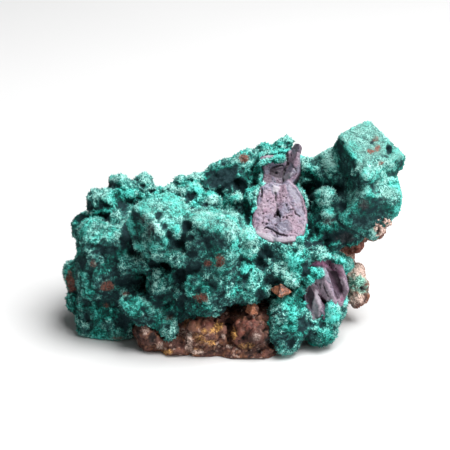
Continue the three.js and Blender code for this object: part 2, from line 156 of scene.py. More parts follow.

# Forms on the malachite's show side. Each is a soft stroke: where its middle shows in the camera's picture,
# in pixels from the left and from the top, its reach across, its reach up and down, its reach in depth in
# mm, how far it raises the surface in mm, and how much brighter it is. The brightness is partly the
# malachite's own tone and partly painted light: painted shade in gaps, hollows and undersides, and painted
# light on faces that the lights leave dim.
FORMS_AND_PAINTED_LIGHT = {
    "left lobe crown": (118, 178, 12, 6, 2.5, 0.5, 0.08),
    "left lobe hollow": (115, 185, 8, 4, 2, -0.4, -0.3),
    "second lobe": (146, 180, 9, 5, 2.5, 0.5, 0.05),
    "notch in the second lobe": (134, 183, 3, 3, 1.6, 0.6, -0.3),
    "notch right of it": (144, 185, 4, 2.5, 1.6, -0.4, -0.35),
    "gap behind the left block": (156, 192, 7, 3, 2, -0.9, -0.5),
    "saddle right of the lobes": (132, 194, 9, 6, 2.5, 0.3, 0.25),
    "shoulder": (98, 196, 8, 6, 2.5, 0.3, 0.1),
    "shoulder front": (91, 203, 6, 8, 2, 0, -0.3),
    "corner of the shoulder": (88, 191, 5, 6, 3, -1.0, -0.1),
    "shoulder glow": (106, 196, 5, 6, 2, 0.1, 0.3),
    "fold under the shoulder": (103, 207, 12, 4, 2.2, -0.4, -0.35),
    "hollow right of the shoulder": (123, 206, 9, 6, 2.2, -0.6, -0.4),
    "small hollow": (106, 218, 6, 6, 2, -0.7, -0.4),
    "small fan": (122, 217, 6, 6, 1.8, 0.5, 0.15),
    "outer left ridge": (78, 218, 9, 8, 2.5, -0.1, -0.4),
    "far block crown": (95, 226, 13, 5, 2.5, 0.4, -0.1),
    "far block crown, right": (111, 230, 8, 4, 2, 0.35, -0.08),
    "far block front": (105, 247, 22, 9, 2.5, -0.1, -0.2),
    "far block right side": (126, 238, 8, 13, 2.5, -0.5, -0.5),
    "behind the left block": (124, 212, 5, 10, 2.5, -0.5, -0.35),
    "left of the left block": (125, 228, 4, 12, 2.5, -0.6, -0.45),
    "below its left corner": (133, 250, 6, 6, 2.5, -0.5, -0.4),
    "under the ledge": (163, 265, 12, 4, 3, -0.5, -0.5),
    "under the ledge, right": (190, 273, 10, 4, 2.5, -0.4, -0.4),
    "tile": (124, 267, 13, 8, 2, 0.2, -0.05),
    "dark strip under the tile": (126, 283, 13, 4.5, 2, -0.3, -0.2),
    "dark wedge": (150, 262, 10, 6, 9, -0.4, -0.8),
    "fold": (160, 281, 13, 12, 3, 0.3, 0.1),
    "dark wedge right of the fold": (181, 276, 8, 7, 4, -0.2, -0.4),
    "dark strip left of the bulge": (181, 303, 5, 16, 2.5, -0.7, -0.3),
    "skirt": (147, 310, 26, 20, 6, 0, -0.12),
    "left end of the skirt": (131, 300, 11, 9, 9, -0.7, -0.3),
    "skirt tip": (167, 328, 6, 8, 2.5, -0.2, -0.12),
    "right of the skirt": (176, 306, 12, 14, 6, 0, 0),
    "foot shade": (125, 325, 12, 9, 2.5, -0.3, -0.35),
    "foot": (95, 325, 12, 10, 2.5, 0.1, 0.12),
    "left side": (72, 298, 7, 9, 2.5, 0.2, -0.05),
    "seam left": (82, 262, 4, 8, 1.6, -0.4, -0.35),
    "face of the left block": (145, 231, 9, 13, 1.8, -0.35, 0.45),
    "left rim": (131, 229, 3.5, 15, 1.6, 0.4, 0.5),
    "lower rim": (140, 247, 8, 4, 1.6, 0.3, 0.4),
    "corner of the rim": (138, 210, 7, 4, 1.6, 0.3, 0.35),
    "bead 1 of the ridge": (146, 211, 3.2, 3.2, 1.4, 0.5, 0.5),
    "bead 2 of the ridge": (150, 217, 3, 3.4, 1.4, 0.5, 0.5),
    "bead 3 of the ridge": (154, 223, 3, 3.4, 1.4, 0.5, 0.5),
    "bead 4 of the ridge": (158, 229, 3, 3.4, 1.4, 0.5, 0.5),
    "bead 5 of the ridge": (162, 235, 3, 3.4, 1.4, 0.5, 0.5),
    "bead 6 of the ridge": (166, 241, 3.5, 3.4, 1.4, 0.5, 0.45),
    "pit behind the ridge": (159, 215, 4.5, 3.5, 2, -0.7, -0.45),
    "channel behind the ridge": (165, 226, 2.6, 5, 2, -0.6, -0.45),
    "lower channel": (170, 237, 2.8, 4.5, 2, -0.6, -0.45),
    "bright lump": (176, 231, 5, 8, 1.8, 0.9, 0.35),
    "top of the left block": (166, 204, 13, 8, 2.5, 0.2, 0.15),
    "hole between the blocks": (187, 226, 4.5, 6, 2.8, -1, -0.5),
    "lower hole between the blocks": (190, 239, 3, 4, 2, -0.4, -0.3),
    "dark corner": (178, 244, 6, 2.6, 1.8, -0.6, -0.5),
    "ledge": (178, 257, 20, 6, 3, 0.2, 0.2),
    "ledge, left": (152, 248, 12, 5, 2.5, 0.2, 0.2),
    "rim of the ledge": (160, 255, 8, 2.5, 1.8, 0.3, 0.25),
    "rim of the ledge, right": (177, 263, 9, 2.5, 1.8, 0.3, 0.2),
    "shade on the ledge": (194, 253, 8, 4, 1.6, -0.2, -0.35),
    "dome crown": (195, 187, 9, 5, 2.2, 0.35, 0.4),
    "dome right": (211, 199, 6, 8, 2.2, 0.35, 0.4),
    "dome hollow": (190, 197, 5, 7, 2, -0.6, -0.4),
    "dome notch": (206, 205, 3.5, 3, 1.6, -0.4, -0.35),
    "ridge left of the dome": (170, 186, 12, 4, 2.2, 0.2, 0.2),
    "turquoise run": (178, 205, 6, 9, 2, 0.15, 0.3),
    "top of the front block": (208, 216, 20, 6, 2.2, 0.2, 0.42),
    "left corner of the front block": (199, 226, 5, 6, 1.8, 0.1, 0.15),
    "front of the front block": (208, 245, 15, 10, 2, -0.2, -0.2),
    "speckled band": (217, 224, 12, 5, 1.8, 0, -0.1),
    "right edge": (233, 228, 6, 14, 1.8, 0.3, 0.3),
    "flank": (248, 242, 9, 26, 4, 0.2, 0.75),
    "flank upper": (246, 236, 4, 7, 2, 0.5, 0.15),
    "flank lower": (251, 252, 5, 6, 2.2, 0.3, 0.1),
    "flank left": (233, 250, 6, 10, 1.8, 0.2, 0.25),
    "flank foot": (243, 269, 6, 5, 1.6, 0.2, 0.15),
    "flank hole": (249, 262, 3, 3, 1.4, -0.7, -0.5),
    "gap right of the front block": (242, 220, 4, 10, 2.2, -0.6, -0.4),
    "front of the back block": (222, 178, 26, 15, 6, -0.4, -0.7),
    "under the back block": (218, 194, 7, 6, 3, -1, -0.7),
    "valley": (242, 187, 7, 8, 3, -1, -0.65),
    "top of the back block": (228, 157, 12, 5, 2.5, 0.1, 0),
    "skyline left": (233, 148, 6, 3, 2, 0.2, -0.2),
    "skyline middle": (252, 149, 10, 4, 2.5, 0.1, 0.3),
    "skyline knob": (265, 147, 5, 4, 2.5, 0.5, -0.15),
    "skyline right knob": (283, 143, 10, 6, 2.5, 0.5, -0.1),
    "gap in the skyline": (273, 148, 5, 4, 2, -0.3, 0.3),
    "crumbs left of the fin": (248, 168, 9, 8, 2.2, 0.2, 0.35),
    "behind the fin": (306, 160, 8, 11, 3, 0, 0.5),
    "round bright knob": (237, 198, 8, 6, 2.2, 0.9, 0.4),
    "collar": (250, 196, 3, 9, 1.6, 0.7, 0.1),
    "inside of the collar": (250, 215, 6, 12, 2, -0.2, -0.3),
    "bright fleck": (252, 178, 2, 2, 1.2, 0.3, 0.6),
    "fleck by the fin": (304, 176, 3, 5, 1.2, 0.4, 0.5),
    "gap beside the upper cube": (350, 169, 7, 13, 3.5, -1.5, -0.9),
    "left side of the upper cube": (339, 149, 6, 10, 3, 0, -0.2),
    "small cube right face": (332, 163, 10, 14, 2.5, 0, 0.85),
    "small cube front": (318, 172, 10, 8, 2.2, 0, 0.05),
    "bright lump under the upper cube": (367, 173, 12, 8, 2.5, 0.9, 0.45),
    "face of the upper cube": (365, 145, 20, 20, 2.5, 0, 0.08),
    "pit on the upper cube": (389, 149, 2.8, 5, 1.2, -0.9, -0.8),
    "notch on the upper cube": (372, 142, 2.5, 2, 1, -0.4, -0.4),
    "second notch": (384, 156, 4, 1.5, 1, -0.3, -0.35),
    "right end of the upper cube": (400, 161, 3, 6, 2, 0, -0.3),
    "turquoise patch": (386, 168, 11, 6, 2, 0.1, 0.5),
    "back edge of the lower cube": (384, 179, 13, 4, 2.5, 0.4, 0.5),
    "top of the lower cube": (386, 185, 13, 11, 2.5, 0, 0.4),
    "left slope of the lower cube": (356, 189, 13, 10, 3, 0.2, 0.1),
    "front of the lower cube": (375, 206, 17, 7, 2.5, 0, -0.2),
    "brow of the lower cube": (380, 199, 11, 2.5, 1.8, -0.2, -0.25),
    "lower front": (352, 222, 18, 9, 2.5, 0, -0.14),
    "lit knobs": (325, 192, 11, 7, 2.2, 0.4, 0.35),
    "notch in the lit knobs": (321, 198, 3, 3, 2, -0.6, -0.4),
    "notch right of them": (333, 189, 3, 3, 2, -0.5, -0.35),
    "notch at their top": (325, 187, 3, 2, 2, -0.4, -0.3),
    "lit strip": (326, 205, 10, 12, 2.2, 0.5, 0.5),
    "lit strip foot": (332, 215, 7, 4, 1.8, 0.4, 0.45),
    "shade right of the strip": (342, 207, 5, 6, 2.2, -0.5, -0.5),
    "shade left of the strip": (309, 195, 5, 12, 3, -0.7, -0.55),
    "band": (318, 224, 10, 6, 2.2, 0.2, -0.1),
    "belly": (335, 237, 18, 7, 3, -0.5, -0.5),
    "black belly": (318, 243, 14, 5, 3, -1, -0.75),
    "belly right": (352, 242, 10, 5, 2.5, -0.1, -0.1),
    "tuft right": (373, 235, 3, 6, 1.6, 0.5, 0.5),
    "bulge crown": (213, 275, 18, 8, 2.5, 0.2, 0.2),
    "bulge right": (235, 287, 8, 8, 2.2, 0.1, 0.15),
    "bulge foot": (213, 305, 14, 4, 2, 0.1, 0.1),
    "gap above the boulder": (228, 309, 11, 5, 3, -1, -0.8),
    "dark right of the bulge": (264, 262, 7, 12, 2.5, -0.3, -0.12),
    "dark below it": (260, 296, 6, 9, 2.5, -0.4, -0.25),
    "bright cluster": (290, 268, 9, 15, 4, 0.5, 0.7),
    "bright cluster foot": (297, 280, 4, 8, 3, 0.4, 0.7),
    "bright thread": (277, 270, 3, 7, 1.5, 0.4, 0.35),
    "hollow right of the cluster": (305, 268, 4, 7, 1.8, -0.7, -0.5),
    "above the right crystal": (310, 249, 11, 6, 2.5, 0.2, 0.05),
    "hood of the octahedron": (290, 283, 4, 4, 1.5, 0.2, -0.15),
    "left of the octahedron": (268, 283, 6, 8, 3, -0.1, 0),
    "knob under the octahedron": (284, 312, 10, 8, 2.5, 0.2, -0.15),
    "bright middle of the knob": (284, 325, 6, 7, 2, 0.2, 0.35),
    "foot knob": (288, 342, 12, 8, 2.5, 0.1, -0.15),
    "hole in the lower knob": (292, 343, 4, 3.5, 1.6, -0.7, -0.5),
    "between the knobs below": (303, 325, 5, 12, 2.5, -0.6, -0.4),
    "right of the right crystal": (331, 314, 10, 12, 4, 0.2, 0.72),
    "under the right crystal": (323, 326, 4, 4, 2, -0.4, -0.25),
    "over the right crystal": (312, 272, 10, 9, 3, 0, -0.15),
    "right lobe foot": (318, 340, 9, 4, 2, 0.1, -0.05),
    "knob right of the right crystal": (348, 265, 6, 7, 2, 0.3, 0.3),
    "dark left of the knob": (262, 312, 6, 8, 2.5, -0.7, -0.7),
}

# Forms of the limonite: the same five numbers, and how far each raises the surface in mm.
ROCK_FORMS = {
    "front block": (207, 331, 17, 13, 3, 0.9),
    "boulder": (250, 332, 18, 18, 3, 0.8),
    "gap between them": (229, 326, 3, 12, 3, -1.2),
    "groove under the front block": (210, 346.5, 18, 2, 3, -0.6),
    "groove left of the vein": (181, 338, 3, 10, 3, -0.5),
    "left stub": (150, 335, 12, 11, 3, 0.5),
}

# Patches on the show side, each with the same five numbers and a strength.
# Rusty stains on the malachite.
RUST = {
    "stain under the front block": (208, 263, 4, 3.6, 1.2, 0.9),
    "larger stain beside it": (220, 261, 4.6, 6.5, 1.4, 1),
    "stain on the bulge": (201, 297, 7, 5, 1.4, 1),
    "stain on the far block": (107, 287, 7.5, 4.5, 1.4, 1),
    "dull stain right of it": (125, 294, 4, 3, 1.4, 0.5),
    "speck below it": (106, 306, 3.5, 2.5, 1.2, 0.7),
    "dull stain on the front": (93, 263, 3, 5, 1.4, 0.45),
    "stain on the left knob": (70, 279, 6, 11, 2, 1),
    "streak on the upper cube": (372, 151.5, 5, 2.6, 1.2, 1),
    "upper end of the streak": (377.5, 148, 3.6, 2.8, 1.2, 1),
    "brown patch on the upper cube": (376, 139, 3.5, 3.5, 1.2, 0.5),
    "lower speck on it": (381, 163, 2.5, 2.2, 1.2, 0.6),
    "stain on the skyline": (244, 158, 5, 4.5, 1.6, 0.9),
    "dull stain by the skirt": (170, 318, 3.5, 4, 1.4, 0.35),
    "foot stain": (118, 338, 7, 2, 1.6, 0.6),
}

# Brownish grey dust on the malachite.
DULL = {
    "brown corner of the left block": (143, 219, 5, 6, 1.6, 0.5),
    "brown patch right of it": (150, 230, 4, 7, 1.6, 0.6),
    "dull front of the lower cube": (363, 204, 6, 5, 2, 0.6),
    "plum patch on the band": (330, 221, 9, 4, 1.8, 0.6),
    "plum patch on the belly": (345, 238, 10, 5, 2, 0.45),
    "dull top of the front block": (214, 221, 8, 4, 1.6, 0.4),
    "dull corner of the left lobe": (113, 182, 6, 5, 1.8, 0.25),
    "dull corner of the upper cube": (362, 126, 10, 4, 2, 0.3),
    "plum spot under the centre crystal": (291.5, 244, 2.5, 3, 2, 1),
}

# Ochre spots on the limonite.
OCHRE = {
    "corner spot of the front block": (219, 327, 4.5, 5, 3, 1),
    "grain left of it": (204, 331, 5, 3.5, 1.6, 0.7),
    "grain between": (213, 331, 5, 3, 1.6, 0.6),
    "lower grain": (211, 343, 9, 3, 1.6, 0.55),
    "left of the front block": (200, 339, 6, 6, 1.6, 0.4),
    "left edge of the boulder": (233, 333, 4, 7, 1.6, 0.75),
    "foot of the left stub": (166, 352, 6, 3.5, 1.6, 0.7),
    "foot of the vein": (196, 351, 7, 3, 1.6, 0.5),
    "top of the right knob": (351, 271, 6, 4, 12, 0.9),
    "foot of the boulder": (245, 346, 8, 3, 1.6, 0.4),
}

# Pinkish white grains on it.
PALE = {
    "upright vein": (189, 343, 4, 11, 3, 1),
    "toe of the vein": (198, 352, 6, 2.2, 3, 0.8),
    "left stub": (145, 331, 5, 5, 1.8, 0.35),
    "square on the boulder": (257, 337, 4, 4, 3, 0.5),
    "lip of the boulder": (230, 346, 5, 2, 1.4, 0.8),
    "lilac grain": (223, 336, 3, 3, 1.4, 0.6),
    "stub foot": (160, 346, 5, 5, 1.6, 0.5),
    "crown of the right knob": (357, 272, 13, 16, 12, 1.2),
    "right knob, lower part": (353, 299, 10, 8, 12, 0.9),
    "right of the stub": (181, 333, 6, 5, 1.6, 0.3),
}

# Near-black painted shade on it, in its hollows, in gaps and under and behind its lumps.
PAINTED_SHADE = {
    "middle of the left stub": (153, 338, 5, 11, 1.6, 0.9),
    "left of the stub": (138, 330, 4, 8, 1.8, 0.8),
    "between the block and the boulder": (228, 325, 3, 9, 2, 0.8),
    "right side of the boulder": (270, 341, 6, 10, 2, 0.8),
    "hollow at the foot": (252, 353, 9, 3, 1.6, 0.55),
    "below the front block": (215, 351, 10, 4, 1.6, 0.35),
    "right toe": (281, 352, 5, 6, 1.8, 0.6),
    "behind the skirt": (178, 309, 12, 12, 6, 0.85),
    "shade on the boulder": (256, 338, 18, 15, 3, 0.6),
    "hole in the right knob": (362, 288, 4, 3.5, 12, 1),
    "foot of the right knob": (350, 306, 6, 3, 12, 0.8),
}

# Green films on it.
GREEN = {
    "film on the right knob": (357, 284, 12, 9, 12, 1.2),
    "tuft on the porous knob": (372, 235, 3, 5, 4, 1),
}

# Reddish patches on it.
RED = {
    "front block": (207, 322, 16, 5, 2, 0.7),
    "left stub": (150, 322, 10, 4, 2, 0.6),
    "under the lower cube": (356, 249, 12, 7, 3, 0.8),
    "porous knob": (382, 228, 10, 10, 4, 0.3),
    "boulder": (248, 333, 20, 17, 3, 0.75),
    "foot": (262, 354, 12, 4, 2, 0.4),
}

# Each kind of patch: its strokes on the show side, and the spacing in mm, the seed and the strength of the
# scattered ones on the sides that face away.
PATCHES = {
    "rust": (RUST, 2.6, 95, 1.0),
    "dull": (DULL, 5.0, 97, 0.6),
    "ochre": (OCHRE, 4.0, 99, 0.9),
    "pale": (PALE, 3.0, 103, 0.8),
    "green": (GREEN, 2.4, 105, 0.9),
    "red": (RED, 6.0, 107, 0.7),
}

# Lumps of limonite that stand out of the crust: middle and half size.
ROCK_LUMPS = {
    "porous knob": ((27.4, -6.2, 21.4), (1.7, 1.5, 1.8)),
    "porous knob, upper right": ((28.6, -6.1, 22.7), (1.5, 1.4, 1.5)),
    "porous knob, upper left": ((27.0, -5.9, 23.2), (1.6, 1.5, 1.2)),
    "right knob": ((24.3, -2.4, 6.6), (2.1, 2.4, 3.9)),
    "right knob, top": ((23.6, -2.2, 10.2), (2.0, 2.2, 1.8)),
}

# The part of the rock that is as full of holes as a sponge: middle and half size.
POROUS = ((27.9, -6.2, 22.0), (3.0, 2.6, 3.2))

# Malachite lumps that are added to the crust, most of them over the broken and the rusty crystals: middle
# and half size.
OVERGROWTH = {
    "top crystal, left": ((6.2, 2.8, 30.4), (1.2, 0.9, 1.0)),
    "top crystal, middle": ((8.0, 3.0, 30.9), (1.5, 0.8, 0.8)),
    "top crystal, right": ((9.5, 3.4, 31.2), (1.4, 0.9, 1.0)),
    "right crystal, upper left": ((15.7, -13.5, 15.3), (2.0, 1.1, 1.1)),
    "right crystal, below it": ((14.6, -13.7, 14.2), (1.2, 0.9, 1.1)),
    "right crystal, lower right": ((19.0, -13.6, 8.2), (1.5, 1.0, 1.6)),
    "right crystal, toe": ((18.0, -13.9, 6.4), (1.5, 1.0, 1.4)),
    "right crystal, foot": ((16.4, -14.0, 5.3), (1.4, 0.9, 1.0)),
    "right crystal, lower left": ((14.2, -13.9, 6.9), (0.9, 0.8, 1.4)),
    "right crystal, top": ((17.0, -11.6, 17.9), (2.2, 1.1, 0.8)),
    "right crystal, upper right": ((20.2, -11.5, 17.0), (1.5, 1.0, 0.9)),
    "hood of the octahedron": ((11.3, -14.8, 14.2), (1.5, 1.2, 1.0)),
    "left of the octahedron": ((6.6, -14.2, 12.0), (1.3, 1.0, 1.8)),
    "right of the octahedron": ((12.6, -13.2, 11.3), (1.3, 1.0, 1.6)),
    "back of the lower cube": ((28.0, -5.2, 29.3), (3.2, 1.4, 1.1)),
    "left knob": ((-29.6, -4.0, 10.4), (1.5, 2.2, 2.6)),
    "centre crystal, foot": ((9.0, -13.1, 20.7), (2.2, 0.8, 0.8)),
    "centre crystal, lower left": ((5.3, -13.0, 21.4), (1.3, 0.9, 1.0)),
    "centre crystal, lower right": ((12.9, -12.4, 21.6), (1.1, 0.8, 0.9)),
    "ledge, left": ((-11.0, -15.6, 20.5), (3.6, 2.0, 1.5)),
    "ledge, right": ((-7.3, -16.7, 19.7), (3.4, 1.9, 1.5)),
    "behind the skirt": ((-9.4, -12.9, 8.0), (2.4, 1.8, 2.6)),
    "wedge left of the fold": ((-15.0, -12.4, 16.8), (2.6, 1.8, 2.2)),
    "wedge right of the fold": ((-9.4, -14.0, 15.2), (1.6, 1.4, 2.0)),
    "above the front block": ((-6.4, -14.0, 8.0), (2.0, 1.4, 1.5)),
}

# Each broken crystal: middle of its face, turn that lays +Z along the face's normal, and its outline on the
# face.
CRYSTALS = {
    "cuprite_centre": (
        (9.07, -9.69, 25.6),
        (52, 0, 3),
        [
            (-3.2, 5.2), (-1.3, 5.9), (0.8, 5.5), (1.9, 6.3), (3.3, 4.8), (4.2, 3.1), (4.9, 0.6), (4.9, -1.8),
            (4.2, -3.8), (2.4, -5.2), (0.4, -5.4), (-1.8, -5.1), (-4.0, -4.2), (-5.0, -3.0), (-4.7, -0.4),
            (-4.0, 1.8),
        ],
    ),
    "cuprite_top": (
        (10.07, 3.11, 29.0),
        (52, -4, -6),
        [
            (-4.2, 2.4), (-2.0, 2.9), (0.4, 3.1), (2.2, 5.2), (3.0, 5.6), (3.6, 2.6), (3.4, -0.6),
            (1.6, -3.2), (0.4, -3.8), (-1.6, -3.9), (-4.0, -3.4), (-3.4, -0.6),
        ],
    ),
    "cuprite_right": (
        (17.77, -12.69, 11.6),
        (76, 0, 10),
        [
            (-3.2, 4.4), (-1.6, 5.7), (0.8, 6.1), (2.6, 5.4), (3.5, 2.8), (4.1, 0.0), (3.6, -2.0),
            (2.2, -3.2), (0.6, -4.4), (-0.6, -6.6), (-2.2, -6.4), (-3.3, -4.2), (-3.9, -1.0), (-3.4, 1.6),
        ],
    ),
}

# How each broken face is finished: the height of its fine roughness in mm, how much of their height its
# planes keep, and the strength of its pale rim.
FINISH = {
    "cuprite_centre": (0.13, 1.0, 0.6),
    "cuprite_top": (0.13, 1.0, 0.15),
    "cuprite_right": (0.22, 0.6, 0.15),
}

# Marks on each broken crystal, where they show in the camera's picture, in pixels. A plane is an outline,
# how far it is raised in mm, how much it rises per pixel to the right and down, and its shares of pink,
# dark, pale and hollow. The hollow share is near-black painted shade.
PLANES = {
    "cuprite_centre": {
        "pale wedge": ([(273, 185), (280, 187.5), (277, 192.5), (273, 193)], 0.15, (0, 0), (-0.2, 0, 0.9, 0)),
        "pink at the top": ([(263, 190), (271, 188), (272, 196), (262, 198)], 0, (0, 0), (0.7, 0, 0.1, 0)),
        "pink beside the wedge": (
            [(280, 187), (285, 184), (287, 190), (286, 198), (281, 199), (279, 192)],
            0.05, (0, 0), (0.8, 0.05, 0.05, 0),
        ),
        "pink left side": (
            [(262, 198), (268, 203), (266, 212), (258, 213), (256, 208), (262, 203)],
            0, (0, 0), (0.8, 0, 0.15, 0),
        ),
        "upper right film": (
            [(288, 184), (296, 190), (301, 198), (304, 207), (301, 211), (296, 204), (293, 196), (288, 191)],
            -0.1, (-0.02, 0), (-1, 0.05, 0.3, 0),
        ),
        "right side": (
            [(292, 204), (304, 207), (305, 214), (302, 217), (296, 212)],
            -0.1, (-0.03, 0), (-1, 0.1, 0.15, 0),
        ),
        "blue-grey plane": (
            [(280, 222), (287, 219.5), (291, 223), (294, 229), (288, 234.5), (280, 232), (276, 227)],
            -0.05, (0.01, 0), (-1, 0.08, 0.1, 0),
        ),
        "warm corner": (
            [(258, 226), (267, 227), (270, 231), (264, 234), (257, 232)],
            0.05, (0, 0.01), (0.9, 0, 0.3, 0),
        ),
        "lower rim": (
            [
                (255, 232), (262, 233.5), (270, 234), (276, 237), (286, 238), (294, 236), (297, 241),
                (275, 246), (252, 240),
            ],
            0.1, (0, 0), (0, 0, 0.6, 0),
        ),
        "step under the pit": (
            [(275, 217), (280, 217), (279.5, 221.5), (276, 223)],
            -0.2, (0, 0.03), (-0.3, 0.3, 0.2, 0),
        ),
        "pit": (
            [(277.4, 208.5), (278.6, 212.5), (280.4, 217.2), (277.5, 216), (274.8, 217), (276.2, 212.5)],
            -0.9, (0, 0), (0, 1, 0, 0.8),
        ),
    },
    "cuprite_top": {
        "fin": (
            [
                (286, 153), (290, 149.5), (294, 144), (297, 143), (299.5, 148), (301, 158), (299.5, 168),
                (297.5, 173), (293, 175), (289, 178), (286, 185), (282.5, 181), (285, 176), (286, 170),
                (288, 166), (287, 160),
            ],
            0.1, (-0.01, 0), (-0.1, 0.12, 0.15, 0),
        ),
        "tip of the fin": (
            [(291, 147), (294.5, 142), (297, 139), (301, 143), (300, 151), (294, 152)],
            0.1, (0, 0), (-0.5, 0.55, 0, 0),
        ),
        "mauve on the fin": (
            [(288, 153), (294, 150), (298, 153), (299, 163), (296.5, 168), (293, 165), (289, 160)],
            0.1, (-0.01, 0), (0.5, 0.1, 0.05, 0),
        ),
        "foot of the fin": (
            [(284, 178), (288, 173.5), (293, 173), (290, 177.5), (288, 181), (285, 184)],
            0.1, (0, 0), (-0.5, 0, 0.8, 0),
        ),
        "dark plane": (
            [
                (270.5, 170), (273, 167.5), (278, 166), (284, 165), (285, 171), (281.5, 178), (276, 177.5),
                (270, 175),
            ],
            -0.3, (0.01, 0.01), (0.3, 0.75, 0, 0),
        ),
        "pink corner": (
            [(263, 175), (270, 174), (272, 180), (273, 185), (263, 187), (262, 180)],
            -0.05, (0, 0), (0.9, 0.35, 0.05, 0),
        ),
        "grey plane": (
            [(279, 157), (284, 155), (286.5, 160), (285, 164.5), (279, 165)],
            -0.1, (0, 0), (-0.3, 0.5, 0, 0),
        ),
        "pale plane": (
            [
                (264, 153.5), (270, 152), (280, 153), (284, 155), (281, 158), (274, 159), (268, 160.5),
                (263, 158),
            ],
            0.1, (0, 0), (0.5, 0.05, 0.6, 0),
        ),
    },
    "cuprite_right": {
        "right band": (
            [
                (333, 260), (338, 262), (342, 268), (346, 279), (348, 291), (346, 298), (341, 302),
                (339, 298), (342, 289), (340, 279), (337, 271), (333, 268),
            ],
            0.25, (0, 0), (1.6, 0.25, 0.05, 0),
        ),
        "upper band": (
            [
                (306, 265), (312, 260), (318, 254), (327, 255), (334, 259), (337, 268), (334, 272),
                (328, 269), (323, 266.5), (318, 265), (311, 268),
            ],
            0.25, (0, 0), (2.0, 0.35, 0, 0),
        ),
        "dark plane": (
            [
                (326.5, 268), (331, 271), (337, 272), (341, 280), (342, 290), (339.5, 299), (336.5, 300),
                (334, 290), (330, 277),
            ],
            -0.5, (0.06, 0), (0.35, 0.85, 0, 0),
        ),
        "pale slope": (
            [(322, 268), (326, 269), (329.5, 277), (331.5, 284), (326, 280), (322, 274)],
            0.2, (0, 0), (-0.9, 0.05, 0.35, 0),
        ),
        "middle plane": (
            [
                (317, 281), (324, 279.5), (328, 283), (332, 290), (336.5, 301), (335.5, 305), (331, 307),
                (325, 299), (320, 291),
            ],
            0.3, (0.02, 0), (0.5, 0.06, 0.3, 0),
        ),
        "left dark plane": (
            [
                (311, 284), (315.5, 287), (315.5, 292), (313, 302), (310.5, 309), (307, 302), (305.5, 292),
                (308, 287),
            ],
            -0.45, (0.05, 0), (0.6, 0.8, 0, 0),
        ),
        "lower plane": (
            [
                (315, 289), (318, 293), (321, 303), (320.5, 314), (318.5, 322), (314, 325), (311.5, 317),
                (312, 307), (314, 298),
            ],
            0.35, (0.02, 0), (0.4, 0.02, 0.6, 0),
        ),
        "trough": (
            [(320, 294), (325, 301), (330, 308), (331, 313), (327, 309), (322, 301)],
            -0.4, (0, 0), (1.6, 0.4, 0, 0),
        ),
        "pink rim": (
            [(340, 276), (345, 279), (347.5, 290), (344, 296), (343, 286)],
            0.25, (0, 0), (0.9, 0, 0.35, 0),
        ),
    },
}

# A crack is a path, its half width in pixels and its depth in mm.
CRACKS = {
    "cuprite_centre": {
        "long crack": (
            [
                (264.5, 228), (267, 227), (269, 228.5), (271.5, 229.5), (273.5, 231.5), (275.5, 233),
                (277, 235),
            ],
            0.6, 0.5,
        ),
        "long crack, right": (
            [(276.5, 232.5), (279, 234.2), (282, 235), (284.5, 235.2), (287, 236.3)],
            0.6, 0.4,
        ),
        "upper right crack": ([(288.5, 210.5), (291, 210), (293.5, 210.3)], 0.4, 0.2),
        "right crack": ([(294.5, 211.5), (296, 213.8), (298, 215), (300.5, 217)], 0.5, 0.35),
        "short crack": ([(289, 215.5), (292, 215.3)], 0.35, 0.15),
        "upper slit": ([(261.5, 189.5), (261.8, 193), (261.3, 196.5)], 0.9, 0.5),
        "groove down the middle": ([(275, 192.5), (276, 196), (276, 200.5)], 0.7, 0.25),
        "groove above the pit": ([(276.5, 203.5), (277, 206), (277.3, 210)], 0.5, 0.15),
    },
    "cuprite_top": {
        "seam beside the fin": (
            [
                (285, 152.5), (286.6, 156), (287.2, 160), (287.8, 164.5), (285.5, 168.5), (284.5, 173),
                (282.8, 178), (284.3, 182),
            ],
            0.9, 0.25,
        ),
        "crack on the fin": ([(292.8, 167), (294.5, 168), (296.5, 170.5)], 0.6, 0.15),
        "edge of the dark plane": ([(272, 168), (277, 166.3), (282, 165.5)], 0.5, 0.2),
    },
    "cuprite_right": {
        "long crack": ([(318.5, 294.5), (322, 299), (326, 304.5), (329, 310)], 0.8, 0.5),
        "short crack": ([(323, 285), (326, 291), (328.5, 296)], 0.5, 0.3),
        "fine crack": ([(319, 284), (321, 289)], 0.4, 0.2),
    },
}

# A pit is its place and half size in pixels, and its depth in mm.
PITS = {
    "cuprite_centre": {
        "left": (267.5, 201.3, 0.9, 0.8, 0.3),
        "right": (286.3, 204.7, 0.9, 1.4, 0.3),
        "upper right": (283, 196.3, 1.1, 0.8, 0.3),
        "beside it": (286.3, 198.2, 0.7, 0.6, 0.2),
        "top": (282.3, 191, 0.6, 0.8, 0.2),
        "left twin": (283, 217.8, 0.9, 0.9, 0.3),
        "right twin": (286.8, 218, 0.8, 1.2, 0.3),
        "left edge": (262.8, 213.5, 1.3, 0.8, 0.2),
        "lower left": (262.7, 223.2, 0.9, 0.8, 0.3),
        "wide one": (266.7, 223.7, 1.4, 0.9, 0.4),
        "above it": (268.8, 220.2, 0.8, 1.3, 0.3),
        "below the crack": (266.4, 232.6, 0.6, 0.7, 0.2),
        "below it, right": (277.4, 236.7, 0.5, 0.9, 0.2),
        "beside the plane": (275.2, 226, 0.7, 0.7, 0.2),
    },
    "cuprite_top": {"on the dark plane": (277, 173, 1, 1, 0.3), "on the fin": (292, 156, 0.8, 1.2, 0.2)},
    "cuprite_right": {
        "upper band": (329, 265, 1, 1, 0.25),
        "upper band, right": (336, 268, 0.9, 0.9, 0.25),
        "right band": (341.5, 285, 0.8, 1.6, 0.25),
        "middle": (316, 284, 0.8, 0.8, 0.2),
    },
}


# ------------------------------------------------------------------------------------- fields in space


